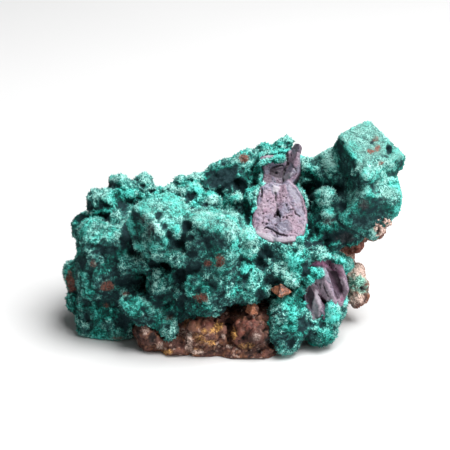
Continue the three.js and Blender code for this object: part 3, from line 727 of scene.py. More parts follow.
def hashed(cells, seed):
    """Pseudo-random 32-bit numbers, one per integer cell and seed, by mixing the three cell numbers."""
    c = cells.astype(np.int64).astype(np.uint32)
    h = np.uint32((seed * MIX_SEED) & ALL_BITS)
    for axis, factor in enumerate(MIX_AXES):
        h = h ^ (c[..., axis] * np.uint32(factor))
    for shift, factor in MIX_STEPS:
        h = (h ^ (h >> np.uint32(shift))) * np.uint32(factor)
    return h


def chance(cells, seed):
    """A number from 0 to 1 for each integer cell."""
    return hashed(cells, seed).astype(np.float64) / ALL_BITS


def eased(t):
    """The curve t*t*(3 - 2t), level at 0 and at 1."""
    return t * t * (3 - 2 * t)


def soft(low, high, values):
    """0 below low, 1 above high, and the eased curve between."""
    return eased(np.clip((values - low) / (high - low), 0, 1))


def ripple(points, size, seed):
    """Smooth noise, about -1 to 1: random heights at the corners of cells of that size, blended with the
    eased curve along each axis."""
    q = points / size
    cell = np.floor(q)
    t = eased(q - cell)
    total = np.zeros(len(points))
    for corner in map(np.array, itertools.product((0, 1), repeat=3)):
        weight = np.prod(np.where(corner == 1, t, 1 - t), axis=1)
        total += weight * (2 * chance(cell + corner, seed) - 1)
    return total


def ripples(points, size, seed, octaves=4):
    """Sum of ripples, each half as large and half as high as the one before."""
    total = np.zeros(len(points))
    for k in range(octaves):
        total += ripple(points, size / 2**k, seed + k) * 0.5**k
    return total / (2 - 0.5 ** (octaves - 1))


def wavy(points, height, size, seed):
    """Points shifted along the diagonal of space by smooth noise of that height and size in mm."""
    return points + height * ripple(points, size, seed)[:, None]


def knots(points, size, seed):
    """One random centre in each cell of that size. Gives the distance to the nearest centre in cell sizes,
    the step from that centre to the point in mm, a random number for that centre, and how much farther the
    second nearest centre is."""
    q = points / size
    cell = np.floor(q)
    nearest = np.full(len(points), np.inf)
    second = np.full(len(points), np.inf)
    step = np.zeros((len(points), 3))
    tag = np.zeros(len(points))
    for beside in itertools.product((-1, 0, 1), repeat=3):
        c = cell + np.array(beside)
        centre = c + np.stack([chance(c, seed + AXIS_SEED * k) for k in range(3)], axis=1)
        away = q - centre
        d = np.sqrt((away**2).sum(1))
        closer = d < nearest
        second = np.where(closer, nearest, np.minimum(second, d))
        nearest = np.where(closer, d, nearest)
        step = np.where(closer[:, None], away, step)
        tag = np.where(closer, chance(c, seed + TAG_SEED), tag)
    return Knots(nearest, step * size, tag, second - nearest)


def domes(knot, reach, level, height, least, spread=1.0):
    """Height in mm of a dome over each centre: the square root of 1 - (distance / reach) squared, less a
    level, times the height and the centre's own share of it, which is least + spread * its random number."""
    dome = np.sqrt(np.clip(1 - (knot.near / reach) ** 2, 0, 1))
    return (dome - level) * height * (least + spread * knot.tag)


def turned(turn):
    """The 3x3 matrix of a turn in degrees about X, then Y, then Z."""
    return np.array(Euler(np.radians(turn), "XYZ").to_matrix())


def local(points, at, turn):
    """Points in the frame of a block or crystal."""
    return (points - np.array(at)) @ turned(turn)


def to_edge(across, p, q):
    """Distance of points on a plane to the straight edge from p to q."""
    edge = q - p
    t = np.clip(((across - p) @ edge) / (edge @ edge), 0, 1)
    return np.linalg.norm(across - p - t[:, None] * edge, axis=1)


def to_path(across, path):
    """Distance of points on a plane to an open path: the least distance to its edges."""
    a = np.array(path, float)
    return np.min([to_edge(across, p, q) for p, q in zip(a[:-1], a[1:])], axis=0)


def to_outline(across, outline):
    """Signed distance of points on a plane to a closed outline, negative inside: the least distance to its
    edges, with the sign from counting the edges that a ray crosses."""
    a = np.array(outline, float)
    distance = np.full(len(across), np.inf)
    inside = np.zeros(len(across), bool)
    for p, q in zip(a, np.roll(a, -1, axis=0)):
        distance = np.minimum(distance, to_edge(across, p, q))
        if p[1] != q[1]:
            spans = (p[1] > across[:, 1]) != (q[1] > across[:, 1])
            reach = p[0] + (across[:, 1] - p[1]) / (q[1] - p[1]) * (q[0] - p[0])
            inside ^= spans & (across[:, 0] < reach)
    return np.where(inside, -distance, distance)


def calmness(points):
    """1 on the faces of the flat-faced blocks, 0 away from them: how near the root of |x|^s + |y|^s + |z|^s,
    in half sizes of a block's own frame, is to FACE_AT."""
    calm = np.zeros(len(points))
    for at, half, turn, square, taper, share in BLOCKS.values():
        q = local(points, at, turn) / np.array(half)
        q[:, 0] /= 1 - taper * q[:, 1]
        out = (np.abs(q) ** square).sum(1) ** (1 / square)
        calm = np.maximum(calm, share * (1 - soft(0.06, 0.2, np.abs(out - FACE_AT))))
    return calm


def block(at, half, turn, square, taper=0, rings=56):
    """A closed block: on a grid of compass and slope angles, each direction d is drawn out to where
    |x|^s + |y|^s + |z|^s is 1, then stretched to the half size, narrowed along Y and turned."""
    around = 2 * rings
    slopes = np.linspace(-np.pi / 2, np.pi / 2, rings + 1)
    slope, compass = np.meshgrid(slopes, np.arange(around) * np.pi / rings, indexing="ij")
    d = np.stack([np.cos(slope) * np.cos(compass), np.cos(slope) * np.sin(compass), np.sin(slope)], axis=-1)
    d /= ((np.abs(d) ** square).sum(-1) ** (1 / square))[..., None]
    d[..., 0] *= 1 - taper * d[..., 1]
    points = (d * np.array(half)).reshape(-1, 3) @ turned(turn).T + np.array(at)
    i, j = np.meshgrid(np.arange(rings), np.arange(around), indexing="ij")
    k = (j + 1) % around
    faces = np.stack([i * around + j, i * around + k, (i + 1) * around + k, (i + 1) * around + j], axis=-1)
    return mesh_of("block", points, faces.reshape(-1, 4))


def ellipsoids(lumps):
    """A closed rounded mesh for each middle and half size."""
    return [block(at, half, (0, 0, 0), 2, rings=20) for at, half in lumps]


def view_axes():
    """The camera's place, and its axes to the right, up and back."""
    rise = np.radians(RISE)
    right = np.array((1, 0, 0))
    up = np.array((0, np.sin(rise), np.cos(rise)))
    back = np.array((0, -np.cos(rise), np.sin(rise)))
    return np.array(TARGET) + DISTANCE * back, right, up, back


def in_picture(points):
    """Where points show in the camera's picture, in pixels from its left and top, and their depth in mm."""
    eye, right, up, back = view_axes()
    away = points - eye
    depth = -away @ back
    pixels = PICTURE * LENS / SENSOR / depth
    return np.stack([PICTURE / 2 + away @ right * pixels, PICTURE / 2 - away @ up * pixels, depth], axis=1)


def first_solid(x, y):
    """Depth in mm of the first of the frame's solids at that pixel, or of the nearest beside it."""
    eye, right, up, back = view_axes()
    across = SENSOR / LENS / PICTURE
    line = (x - PICTURE / 2) * across * right + (PICTURE / 2 - y) * across * up - back
    place = SOLIDS.ray_cast(Vector(eye * MM), Vector(line))[0]
    if place is None:
        place = SOLIDS.find_nearest(Vector((eye + DISTANCE * line) * MM))[0]
    return in_picture(np.array([place]) / MM)[0, 2]


def solids_tree():
    """A search tree over the faces of all the frame's nodes."""
    corners, faces = [], []
    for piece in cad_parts.values():
        first = len(corners)
        corners += [piece.matrix_world @ v.co for v in piece.data.vertices]
        faces += [[first + k for k in polygon.vertices] for polygon in piece.data.polygons]
    return BVHTree.FromPolygons(corners, faces)


def stroked(points, strokes, which=0):
    """Sum of soft strokes, with one of the values that follow each stroke's reach: each is full in the middle
    of its reach and fades to nothing at its edge, which is made uneven by smooth noise."""
    total = np.zeros(len(points))
    uneven = 0.4 * ripple(points, 1.4, seed=77) + 0.35 * ripple(points, 0.6, seed=78)
    seen = in_picture(points)
    for x, y, wide, high, deep, *values in strokes.values():
        step = (seen - (x, y, first_solid(x, y))) / (wide, high, deep)
        step[:, 2] = np.maximum(np.abs(step[:, 2]) - FREE_DEPTH / deep, 0)
        close = np.flatnonzero((np.abs(step) < STROKE_END).all(1))
        away = np.sqrt((step[close] ** 2).sum(1)) + uneven[close]
        total[close] += values[which] * (1 - soft(0.5, 1.15, away))
    return total


def scattered(points, normals, size, seed, share=1.0):
    """Patches where smooth noise peaks, only on what faces away from the camera."""
    hidden = 1 - soft(-0.35, -0.05, normals @ view_axes()[3])
    peaks = soft(0.32, 0.5, ripples(points, size, seed, octaves=3))
    return share * hidden * peaks


def patches(points, normals, kind, more=0):
    """Share of one kind of patch, 0 to 1: its strokes, what is given besides, and its scattered patches."""
    strokes, size, seed, share = PATCHES[kind]
    return np.clip(stroked(points, strokes) + more + scattered(points, normals, size, seed, share), 0, 1)


def threads(points):
    """Fine bright threads, 0 to 1: thin bands where smooth noise in a gently bent space is near nothing."""
    bend = np.stack([ripple(points, 3.5, seed=81 + k) for k in range(3)], axis=1)
    q = (points + 1.2 * bend) * np.array((1.0, 0.8, 0.7))
    wide = np.clip(1 - 3.0 * np.abs(ripple(q, 0.8, seed=85)), 0, 1)
    narrow = np.clip(1 - 3.0 * np.abs(ripple(q, 0.65, seed=86)), 0, 1)
    return np.maximum(wide, 0.8 * narrow)


def speckle(points):
    """Fine pattern of the fibre ends, about -1 to 1: small cells with tones of their own, and threads."""
    cells = knots(wavy(points, 0.15, 0.5, seed=70), 0.6, seed=71)
    return 0.7 * (cells.tag - 0.5) + 0.5 * (0.5 - cells.near) + 1.5 * (threads(points) - 0.35)


def rim_beads():
    """Small malachite lumps just outside the outlines of the beaded crystals: middle and half size, one on
    most edges at a random place."""
    rng = np.random.default_rng(SEED + 5)
    beads = []
    for name in BEADED:
        at, turn, outline = CRYSTALS[name]
        corners = np.array(outline, float)
        for p, q in zip(corners, np.roll(corners, -1, axis=0)):
            along, low, size, kept = rng.random(4)
            place = p + along * (q - p)
            place = place * (1 + BEAD_OUT / np.linalg.norm(place))
            if kept < BEAD_SHARE:
                above = BEAD_LOWEST + BEAD_RISE * low
                middle = np.array(at) + turned(turn) @ np.array((*place, above))
                beads.append((middle, np.full(3, BEAD_HALF + BEAD_GROWTH * size)))
    return beads


def overgrown(points):
    """1 in the lumps that are added to the crust, 0 away from them."""
    most = np.zeros(len(points))
    for middle, half in ADDED_LUMPS:
        away = np.sqrt((((points - np.array(middle)) / np.array(half)) ** 2).sum(1))
        most = np.maximum(most, 1 - soft(1.05, 1.45, away))
    return most


def in_crystal(points, margin):
    """1 within the prism behind or before each broken crystal's face, falling to 0 at the margin outside it,
    and 0 in the lumps that are added."""
    inside = np.zeros(len(points))
    for at, turn, outline in CRYSTALS.values():
        q = local(points, at, turn)
        beside = 1 - soft(margin * 0.35, margin, to_outline(q[:, :2], outline))
        behind = soft(-6.5, -5.0, q[:, 2])
        before = 1 - soft(4, 5, q[:, 2])
        inside = np.maximum(inside, beside * behind * before)
    return inside * (1 - overgrown(points))


def grounded(points):
    """0 on the ground, 1 from 2 mm up, to leave the base flat."""
    return soft(0.1, 2.0, points[:, 2])


SOLIDS = solids_tree()
ADDED_LUMPS = (*OVERGROWTH.values(), *rim_beads())


# ------------------------------------------------------------------------------------- meshes


def points_of(mesh):
    """Vertex places of a mesh in mm."""
    flat = np.empty(len(mesh.vertices) * 3, np.float32)
    mesh.vertices.foreach_get("co", flat)
    return flat.reshape(-1, 3).astype(np.float64) / MM


def normals_of(mesh):
    """Vertex normals of a mesh."""
    flat = np.empty(len(mesh.vertices) * 3, np.float32)
    mesh.vertex_normals.foreach_get("vector", flat)
    return flat.reshape(-1, 3).astype(np.float64)


def put_points(mesh, points):
    """Writes vertex places in mm, with nothing below the ground."""
    points = points.copy()
    points[:, 2] = np.maximum(points[:, 2], 0)
    mesh.vertices.foreach_set("co", (points * MM).astype(np.float32).ravel())
    mesh.update()


def smoothed(mesh, points, times):
    """Each point moved halfway to the mean of its neighbours, that many times."""
    edges = np.empty(len(mesh.edges) * 2, np.int32)
    mesh.edges.foreach_get("vertices", edges)
    a, b = edges.reshape(-1, 2).T
    size = len(points)
    count = np.bincount(a, minlength=size) + np.bincount(b, minlength=size)
    for _ in range(times):
        sums = [np.bincount(a, points[b, k], size) + np.bincount(b, points[a, k], size) for k in range(3)]
        points = 0.5 * points + 0.5 * np.stack(sums, axis=1) / count[:, None]
    return points


def standing(mesh, points, normals, times):
    """How far each point stands out of the surface smoothed that many times, in mm."""
    return ((points - smoothed(mesh, points, times)) * normals).sum(1)


def mesh_of(name, points, faces):
    """A mesh from vertex places in mm and an array of faces with the same number of corners."""
    mesh = bpy.data.meshes.new(name)
    corners = faces.shape[1]
    mesh.vertices.add(len(points))
    mesh.vertices.foreach_set("co", (points * MM).astype(np.float32).ravel())
    mesh.loops.add(faces.size)
    mesh.loops.foreach_set("vertex_index", faces.astype(np.int32).ravel())
    mesh.polygons.add(len(faces))
    mesh.polygons.foreach_set("loop_start", np.arange(0, faces.size, corners, dtype=np.int32))
    mesh.update(calc_edges=True)
    return mesh


def placed(name, mesh, material, slot, *nodes):
    """Links a mesh as a piece at the origin that rides on the root body and stands for those nodes."""
    piece = bpy.data.objects.new(name, mesh)
    bpy.context.scene.collection.objects.link(piece)
    mesh.materials.clear()
    mesh.materials.append(material)
    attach(piece, "root")
    if nodes:
        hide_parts(*nodes)


def modified(mesh, kind, **settings):
    """A new mesh in place of the given one, with a modifier of that kind applied."""
    holder = bpy.data.objects.new("holder", mesh)
    bpy.context.scene.collection.objects.link(holder)
    modifier = holder.modifiers.new("change", kind)
    for name, value in settings.items():
        setattr(modifier, name, value)
    made = bpy.data.meshes.new_from_object(holder.evaluated_get(bpy.context.evaluated_depsgraph_get()))
    bpy.data.objects.remove(holder)
    bpy.data.meshes.remove(mesh)
    return made


def remeshed(mesh, quad):
    """A new mesh of even quads of that size in mm over a closed mesh."""
    return modified(mesh, "REMESH", mode="VOXEL", voxel_size=quad * MM, adaptivity=0)


def thinned(mesh, triangles):
    """A new mesh of about that many triangles, with fewer where the surface is even."""
    mesh.calc_loop_triangles()
    ratio = min(1.0, triangles / len(mesh.loop_triangles))
    return modified(mesh, "DECIMATE", ratio=ratio, use_collapse_triangulate=True)


def merged_copy(node, *extra):
    """A copy of a frame node's mesh with the extra meshes beside it and its doubled corners merged."""
    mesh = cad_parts[node].data.copy()
    work = bmesh.new()
    work.from_mesh(mesh)
    for more in extra:
        work.from_mesh(more)
        bpy.data.meshes.remove(more)
    bmesh.ops.remove_doubles(work, verts=work.verts, dist=DOUBLED * MM)
    work.to_mesh(mesh)
    work.free()
    mesh.materials.clear()
    return mesh


def shade_smooth(mesh):
    """Shades every face of a mesh smoothly."""
    mesh.polygons.foreach_set("use_smooth", np.ones(len(mesh.polygons), bool))


def put_values(mesh, name, values):
    """Stores one number per vertex for the materials."""
    layer = mesh.attributes.new(name, "FLOAT", "POINT")
    layer.data.foreach_set("value", values.astype(np.float32))


# ------------------------------------------------------------------------------------- materials


def plug(tree, made, **links):
    """Sets or links inputs of a node by name; an underscore stands for a space."""
    for key, value in links.items():
        socket = made.inputs[key.replace("_", " ")]
        if isinstance(value, bpy.types.NodeSocket):
            tree.links.new(value, socket)
        else:
            socket.default_value = value
    return made


def ramp(tree, value, stops):
    """A colour ramp over [(place, colour)]."""
    made = tree.nodes.new("ShaderNodeValToRGB")
    line = made.color_ramp
    while len(line.elements) < len(stops):
        line.elements.new(0.5)
    for element, (place, colour) in zip(line.elements, stops):
        element.position = place
        element.color = (*colour, 1)
    tree.links.new(value, made.inputs["Fac"])
    return made.outputs["Color"]


def mask(tree, value, start, end):
    """A grey ramp between two (place, brightness)."""
    return ramp(tree, value, [(place, (bright,) * 3) for place, bright in (start, end)])


def mixed(tree, fraction, one, two):
    """Mix of two colours by a fraction."""
    made = tree.nodes.new("ShaderNodeMix")
    made.data_type = "RGBA"
    made.clamp_factor = True
    for socket, value in ((made.inputs[0], fraction), (made.inputs[6], one), (made.inputs[7], two)):
        if isinstance(value, bpy.types.NodeSocket):
            tree.links.new(value, socket)
        elif isinstance(value, (int, float)):
            socket.default_value = value
        else:
            socket.default_value = (*value, 1)
    return made.outputs[2]


def maths(tree, kind, one, two=0.0, clamp=False):
    """One step of arithmetic."""
    made = tree.nodes.new("ShaderNodeMath")
    made.operation = kind
    made.use_clamp = clamp
    for socket, value in zip(made.inputs, (one, two)):
        if isinstance(value, bpy.types.NodeSocket):
            tree.links.new(value, socket)
        else:
            socket.default_value = value
    return made.outputs[0]


def weighed(tree, value, middle, weight):
    """How far a value is from a middle, times a weight."""
    return maths(tree, "MULTIPLY", maths(tree, "SUBTRACT", value, middle), weight)


def value_of(tree, name):
    """The number that a mesh stores under that name."""
    made = tree.nodes.new("ShaderNodeAttribute")
    made.attribute_name = name
    return made.outputs["Fac"]


def grain_group():
    """Shader group: cloudy mottling, fine grain, thin threads and a random tone for each cell of a mosaic,
    all from 0 to 1, at sizes given in mm."""
    name = "mineral grain"
    if name in bpy.data.node_groups:
        return bpy.data.node_groups[name]
    tree = bpy.data.node_groups.new(name, "ShaderNodeTree")
    face = tree.interface
    for label, default in (("Cloud size", 3.0), ("Grain size", 0.25), ("Cell size", 0.7)):
        socket = face.new_socket(label, in_out="INPUT", socket_type="NodeSocketFloat")
        socket.default_value = default
    for label in ("Cloud", "Grain", "Thread", "Cell"):
        face.new_socket(label, in_out="OUTPUT", socket_type="NodeSocketFloat")
    start = tree.nodes.new("NodeGroupInput")
    end = tree.nodes.new("NodeGroupOutput")
    place = tree.nodes.new("ShaderNodeTexCoord").outputs["Object"]
    per_metre = 1 / MM
    for label, detail in (("Cloud", 4.0), ("Grain", 3.0)):
        scale = maths(tree, "DIVIDE", per_metre, start.outputs[label + " size"])
        noise = tree.nodes.new("ShaderNodeTexNoise")
        plug(tree, noise, Vector=place, Detail=detail, Roughness=0.6, Scale=scale)
        tree.links.new(noise.outputs["Fac"], end.inputs[label])
    scale = maths(tree, "DIVIDE", THREAD_SCALE * per_metre, start.outputs["Grain size"])
    thread = tree.nodes.new("ShaderNodeTexNoise")
    plug(tree, thread, Vector=place, Detail=1.0, Distortion=0.6, Scale=scale)
    away = maths(tree, "ABSOLUTE", maths(tree, "SUBTRACT", thread.outputs["Fac"], 0.5))
    thin = maths(tree, "SUBTRACT", 1.0, maths(tree, "MULTIPLY", away, THREAD_NARROWING), clamp=True)
    tree.links.new(thin, end.inputs["Thread"])
    cells = tree.nodes.new("ShaderNodeTexVoronoi")
    plug(tree, cells, Vector=place, Scale=maths(tree, "DIVIDE", per_metre, start.outputs["Cell size"]))
    split = tree.nodes.new("ShaderNodeSeparateColor")
    tree.links.new(cells.outputs["Color"], split.inputs["Color"])
    tree.links.new(split.outputs["Red"], end.inputs["Cell"])
    return tree


def grain(tree, cloud_size, grain_size, cell_size=0.7):
    """The outputs of a mineral grain group with its sizes in mm."""
    made = tree.nodes.new("ShaderNodeGroup")
    made.node_tree = grain_group()
    return plug(tree, made, Cloud_size=cloud_size, Grain_size=grain_size, Cell_size=cell_size).outputs


def blank(name, roughness, **sockets):
    """A new material with an empty Principled shader."""
    material = bpy.data.materials.new(name)
    material.use_nodes = True
    tree = material.node_tree
    shader = plug(tree, tree.nodes["Principled BSDF"], Roughness=roughness, **sockets)
    return material, tree, shader


def bumped(tree, shader, height, strength, distance):
    """Fine relief in the shading, with its height in mm."""
    bump = tree.nodes.new("ShaderNodeBump")
    plug(tree, bump, Strength=strength, Distance=distance * MM, Height=height)
    tree.links.new(bump.outputs["Normal"], shader.inputs["Normal"])


def greens(tree, lift, cloud, s):
    """Malachite from the near-black painted shade of the creases to the tips, in clouds of frosted and of
    vivid green, over a tone that also holds painted light on what faces up.
    """
    crease, slope, top, tip = GREEN_STOPS
    frosted = ramp(tree, lift, [(crease, s.crease), (slope, s.slope), (top, s.top), (tip, s.frost)])
    vivid = ramp(tree, lift, [(crease, s.crease), (slope, s.deep), (top, s.bright), (tip, s.vivid)])
    return mixed(tree, mask(tree, cloud, (0.44, 0), (0.58, 1)), frosted, vivid)


def broken_up(tree, name, fine):
    """A stored share made uneven by the fine grain: nothing in the darkest grains, full in the palest."""
    spread = maths(tree, "SUBTRACT", maths(tree, "MULTIPLY", fine, 7.0), 2.3)
    return maths(tree, "MULTIPLY", value_of(tree, name), spread, clamp=True)


def malachite_material(s):
    """Crust: near black in the creases as painted shade, green on the slopes, turquoise and frosted on the
    tops, partly as painted light.
    """
    material, tree, shader = blank("malachite crust", roughness=0.8, Specular_IOR_Level=0.08)
    grains = grain(tree, *MALACHITE_GRAIN)
    cloud, fine = grains["Cloud"], grains["Grain"]
    gain = 1.0
    for value, middle, weight in ((fine, 0.5, 2.0), (grains["Thread"], 0.35, 1.0), (cloud, 0.5, 0.8)):
        gain = maths(tree, "ADD", gain, weighed(tree, value, middle, weight))
    # The stored height is the crust's tone, with painted shade in the creases and painted light on what faces
    # up.
    lift = maths(tree, "MULTIPLY", value_of(tree, "height"), gain)
    lift = maths(tree, "ADD", lift, maths(tree, "MULTIPLY", fine, 0.6))
    lift = maths(tree, "SUBTRACT", lift, 0.2)
    dusty = ramp(tree, fine, [(0.35, s.dust_dark), (0.62, s.dust_pale)])
    dull = ramp(tree, fine, [(0.35, s.dull_dark), (0.65, s.dull_pale)])
    rusty = ramp(tree, fine, [(0.3, s.stain_dark), (0.65, s.stain_pale)])
    dust = maths(tree, "MULTIPLY", value_of(tree, "dust"), 0.8)
    colour = mixed(tree, dust, greens(tree, lift, cloud, s), dusty)
    colour = mixed(tree, value_of(tree, "dull"), colour, dull)
    plug(tree, shader, Base_Color=mixed(tree, broken_up(tree, "rust", fine), colour, rusty))
    bumped(tree, shader, fine, strength=0.8, distance=0.12)
    return material


def velvet_material(s, own):
    """Needles: dark at the root, turquoise along the needle, frosted at the tip. Each needle has its own
    tone, which follows the crust's tone with its painted shade and painted light, the greens are the crust's,
    and the stains are the velvet's own."""
    material, tree, shader = blank("malachite velvet", roughness=0.7, Specular_IOR_Level=0.12)
    grains = grain(tree, *MALACHITE_GRAIN)
    gain = maths(tree, "ADD", 1.0, maths(tree, "MULTIPLY", value_of(tree, "along"), 0.45))
    lift = maths(tree, "MULTIPLY", value_of(tree, "tone"), gain)
    dusty = ramp(tree, lift, [(0.2, s.dust_dark), (0.9, s.dust_pale)])
    dull = ramp(tree, lift, [(0.2, s.dull_dark), (0.9, own.dull_tip)])
    rusty = ramp(tree, lift, [(0.2, own.stain_root), (0.9, own.stain_tip)])
    colour = mixed(tree, value_of(tree, "dust"), greens(tree, lift, grains["Cloud"], s), dusty)
    colour = mixed(tree, value_of(tree, "dull"), colour, dull)
    plug(tree, shader, Base_Color=mixed(tree, broken_up(tree, "rust", grains["Grain"]), colour, rusty))
    return material


def cuprite_material(s):
    """Broken cuprite: lilac to pinkish clouds, near-black planes, near-black painted shade in its cracks and
    pits, and pale edges.
    """
    material, tree, shader = blank("broken cuprite", roughness=0.45)
    grains = grain(tree, 2.6, 0.3)
    fine = grains["Grain"]
    blush = maths(tree, "ADD", grains["Cloud"], maths(tree, "MULTIPLY", value_of(tree, "pink"), 0.2))
    colour = ramp(tree, blush, [(0.38, s.lilac), (0.58, s.pink), (0.72, s.pink), (0.9, s.wine)])
    colour = mixed(tree, mask(tree, fine, (0.32, 1), (0.5, 0)), colour, s.plum)
    for name, tint in (("pale", s.pale_rim), ("dark", s.plum), ("hollow", s.crack)):
        colour = mixed(tree, value_of(tree, name), colour, tint)
    plug(tree, shader, Base_Color=colour)
    bumped(tree, shader, fine, strength=0.9, distance=0.08)
    return material


def limonite_material(s):
    """Rough rock: mauve-brown, darker where it lies low as partly painted shade, with ochre clouds, pale
    grains, and near-black painted shade in its pits and hollows.
    """
    material, tree, shader = blank("limonite", roughness=0.72, Specular_IOR_Level=0.35)
    grains = grain(tree, 2.4, 0.3, 0.45)
    fine = grains["Grain"]
    lift = maths(tree, "ADD", value_of(tree, "height"), weighed(tree, fine, 0.5, 1.2))
    colour = ramp(tree, lift, [(0.15, s.umber), (0.5, s.brown), (0.85, s.tan)])
    colour = mixed(tree, mask(tree, grains["Cloud"], (0.52, 0), (0.66, 0.6)), colour, s.ochre_dark)
    tones = [(0.1, s.umber), (0.45, s.brown), (0.7, s.tan), (0.88, s.ochre_dark), (1.0, s.pale_grain)]
    colour = mixed(tree, 0.4, colour, ramp(tree, grains["Cell"], tones))
    red = ramp(tree, lift, [(0.2, s.red_dark), (0.8, s.red_light)])
    ochre = ramp(tree, fine, [(0.4, s.ochre_dark), (0.6, s.ochre)])
    pale = ramp(tree, fine, [(0.32, s.tan), (0.52, s.pale_grain)])
    green = ramp(tree, fine, [(0.4, s.green_dark), (0.6, s.green)])
    colour = mixed(tree, value_of(tree, "red"), colour, red)
    colour = mixed(tree, broken_up(tree, "ochre", fine), colour, ochre)
    colour = mixed(tree, broken_up(tree, "pale", fine), colour, pale)
    colour = mixed(tree, value_of(tree, "green"), colour, green)
    # Painted shade: the hollow share turns the rock near black.
    plug(tree, shader, Base_Color=mixed(tree, value_of(tree, "hollow"), colour, s.hole))
    bumped(tree, shader, fine, strength=0.9, distance=0.15)
    return material


def rusty_material(s):
    """Small rusted crystals: orange-brown clouds with dark and pale grains."""
    material, tree, shader = blank("rusty crystal", roughness=0.45)
    grains = grain(tree, 1.2, 0.18)
    fine = grains["Grain"]
    colour = ramp(tree, grains["Cloud"], [(0.42, s.rust_dark), (0.56, s.rust_light)])
    colour = mixed(tree, mask(tree, fine, (0.35, 1), (0.47, 0)), colour, s.rust_dark)
    colour = mixed(tree, mask(tree, fine, (0.58, 0), (0.72, 1)), colour, s.rust_pale)
    plug(tree, shader, Base_Color=colour)
    bumped(tree, shader, fine, strength=0.6, distance=0.06)
    return material


# ------------------------------------------------------------------------------------- settings


def colour_setting(name, text, default):
    """A colour in the panel."""
    return bpy.props.FloatVectorProperty(
        name=name, description=text, default=default, size=3, min=0, max=1, subtype="COLOR"
    )


def size_setting(name, text, default, low=0.01, high=20.0):
    """A size or strength in the panel."""
    return bpy.props.FloatProperty(name=name, description=text, default=default, min=low, max=high)


class MineralCrustSettings(bpy.types.PropertyGroup):
    inset: size_setting("Inset", "How far the crust lies inside the tips of its velvet, in mm", 0.25)
    knob_size: size_setting("Knob size", "Spacing of the large knobs, in mm", 3.6)
    knob_height: size_setting("Knob height", "Height of the large knobs, in mm", 1.0)
    tuft_size: size_setting("Tuft size", "Spacing of the tufts, in mm", 1.35)
    tuft_height: size_setting("Tuft height", "Height of the tufts, in mm", 0.45)
    crumb_size: size_setting("Crumb size", "Spacing of the smallest lumps, in mm", 0.62)
    crumb_height: size_setting("Crumb height", "Height of the smallest lumps, in mm", 0.26)
    voxel: size_setting("Quad size", "Size of the crust's quads, in mm", 0.26)
    # Crease, slope and top, and deep and bright, are the greens from the lowest tone to the highest: the
    # darkest stand in for shade in the creases, and the lightest are partly painted light on what faces up.
    crease: colour_setting("Crease", "Malachite in the creases", (0.012, 0.03, 0.035))
    slope: colour_setting("Slope", "Malachite on the slopes", (0.028, 0.085, 0.085))
    top: colour_setting("Top", "Malachite on the tops", (0.073, 0.318, 0.278))
    frost: colour_setting("Frost", "Frosted tips", (0.35, 0.66, 0.6))
    deep: colour_setting("Deep", "Vivid malachite on the slopes", (0.01, 0.09, 0.073))
    bright: colour_setting("Bright", "Vivid malachite on the tops", (0.024, 0.325, 0.265))
    vivid: colour_setting("Vivid", "Vivid tips", (0.11, 0.6, 0.53))
    dust_dark: colour_setting("Dust dark", "Grey-green dust, dark grains", (0.035, 0.085, 0.077))
    dust_pale: colour_setting("Dust pale", "Grey-green dust, pale grains", (0.2, 0.41, 0.36))
    dull_dark: colour_setting("Dull dark", "Brownish grey patches, dark grains", (0.02, 0.018, 0.022))
    dull_pale: colour_setting("Dull pale", "Brownish grey patches, pale grains", (0.12, 0.105, 0.11))
    stain_dark: colour_setting("Stain dark", "Rusty stains, dark grains", (0.035, 0.014, 0.012))
    stain_pale: colour_setting("Stain pale", "Rusty stains, pale grains", (0.25, 0.1, 0.075))


class MineralVelvetSettings(bpy.types.PropertyGroup):
    needles: bpy.props.IntProperty(
        name="Needles", description="Needles in each of the two pieces", default=49000, min=1000, max=49900
    )
    length: size_setting("Needle length", "Mean length of the needles, in mm", 0.38)
    radius: size_setting("Needle radius", "Mean radius of a needle's root, in mm", 0.1)
    dull_tip: colour_setting("Dull tip", "Tips of brownish grey needles", (0.15, 0.13, 0.135))
    stain_root: colour_setting("Stain root", "Roots of rusty needles", (0.04, 0.015, 0.013))
    stain_tip: colour_setting("Stain tip", "Tips of rusty needles", (0.32, 0.135, 0.1))


class MineralCupriteSettings(bpy.types.PropertyGroup):
    lilac: colour_setting("Lilac", "Cuprite, bluish lilac", (0.165, 0.155, 0.22))
    pink: colour_setting("Pink", "Cuprite, pinkish", (0.25, 0.17, 0.225))
    wine: colour_setting("Wine", "Reddish purple bands", (0.2, 0.052, 0.13))
    plum: colour_setting("Plum", "Dark planes and grains", (0.035, 0.016, 0.03))
    pale_rim: colour_setting("Pale rim", "Pale edges", (0.35, 0.32, 0.36))
    # Crack is painted shade: the near black of the cracks and pits.
    crack: colour_setting("Crack", "Cracks and pits", (0.006, 0.002, 0.005))


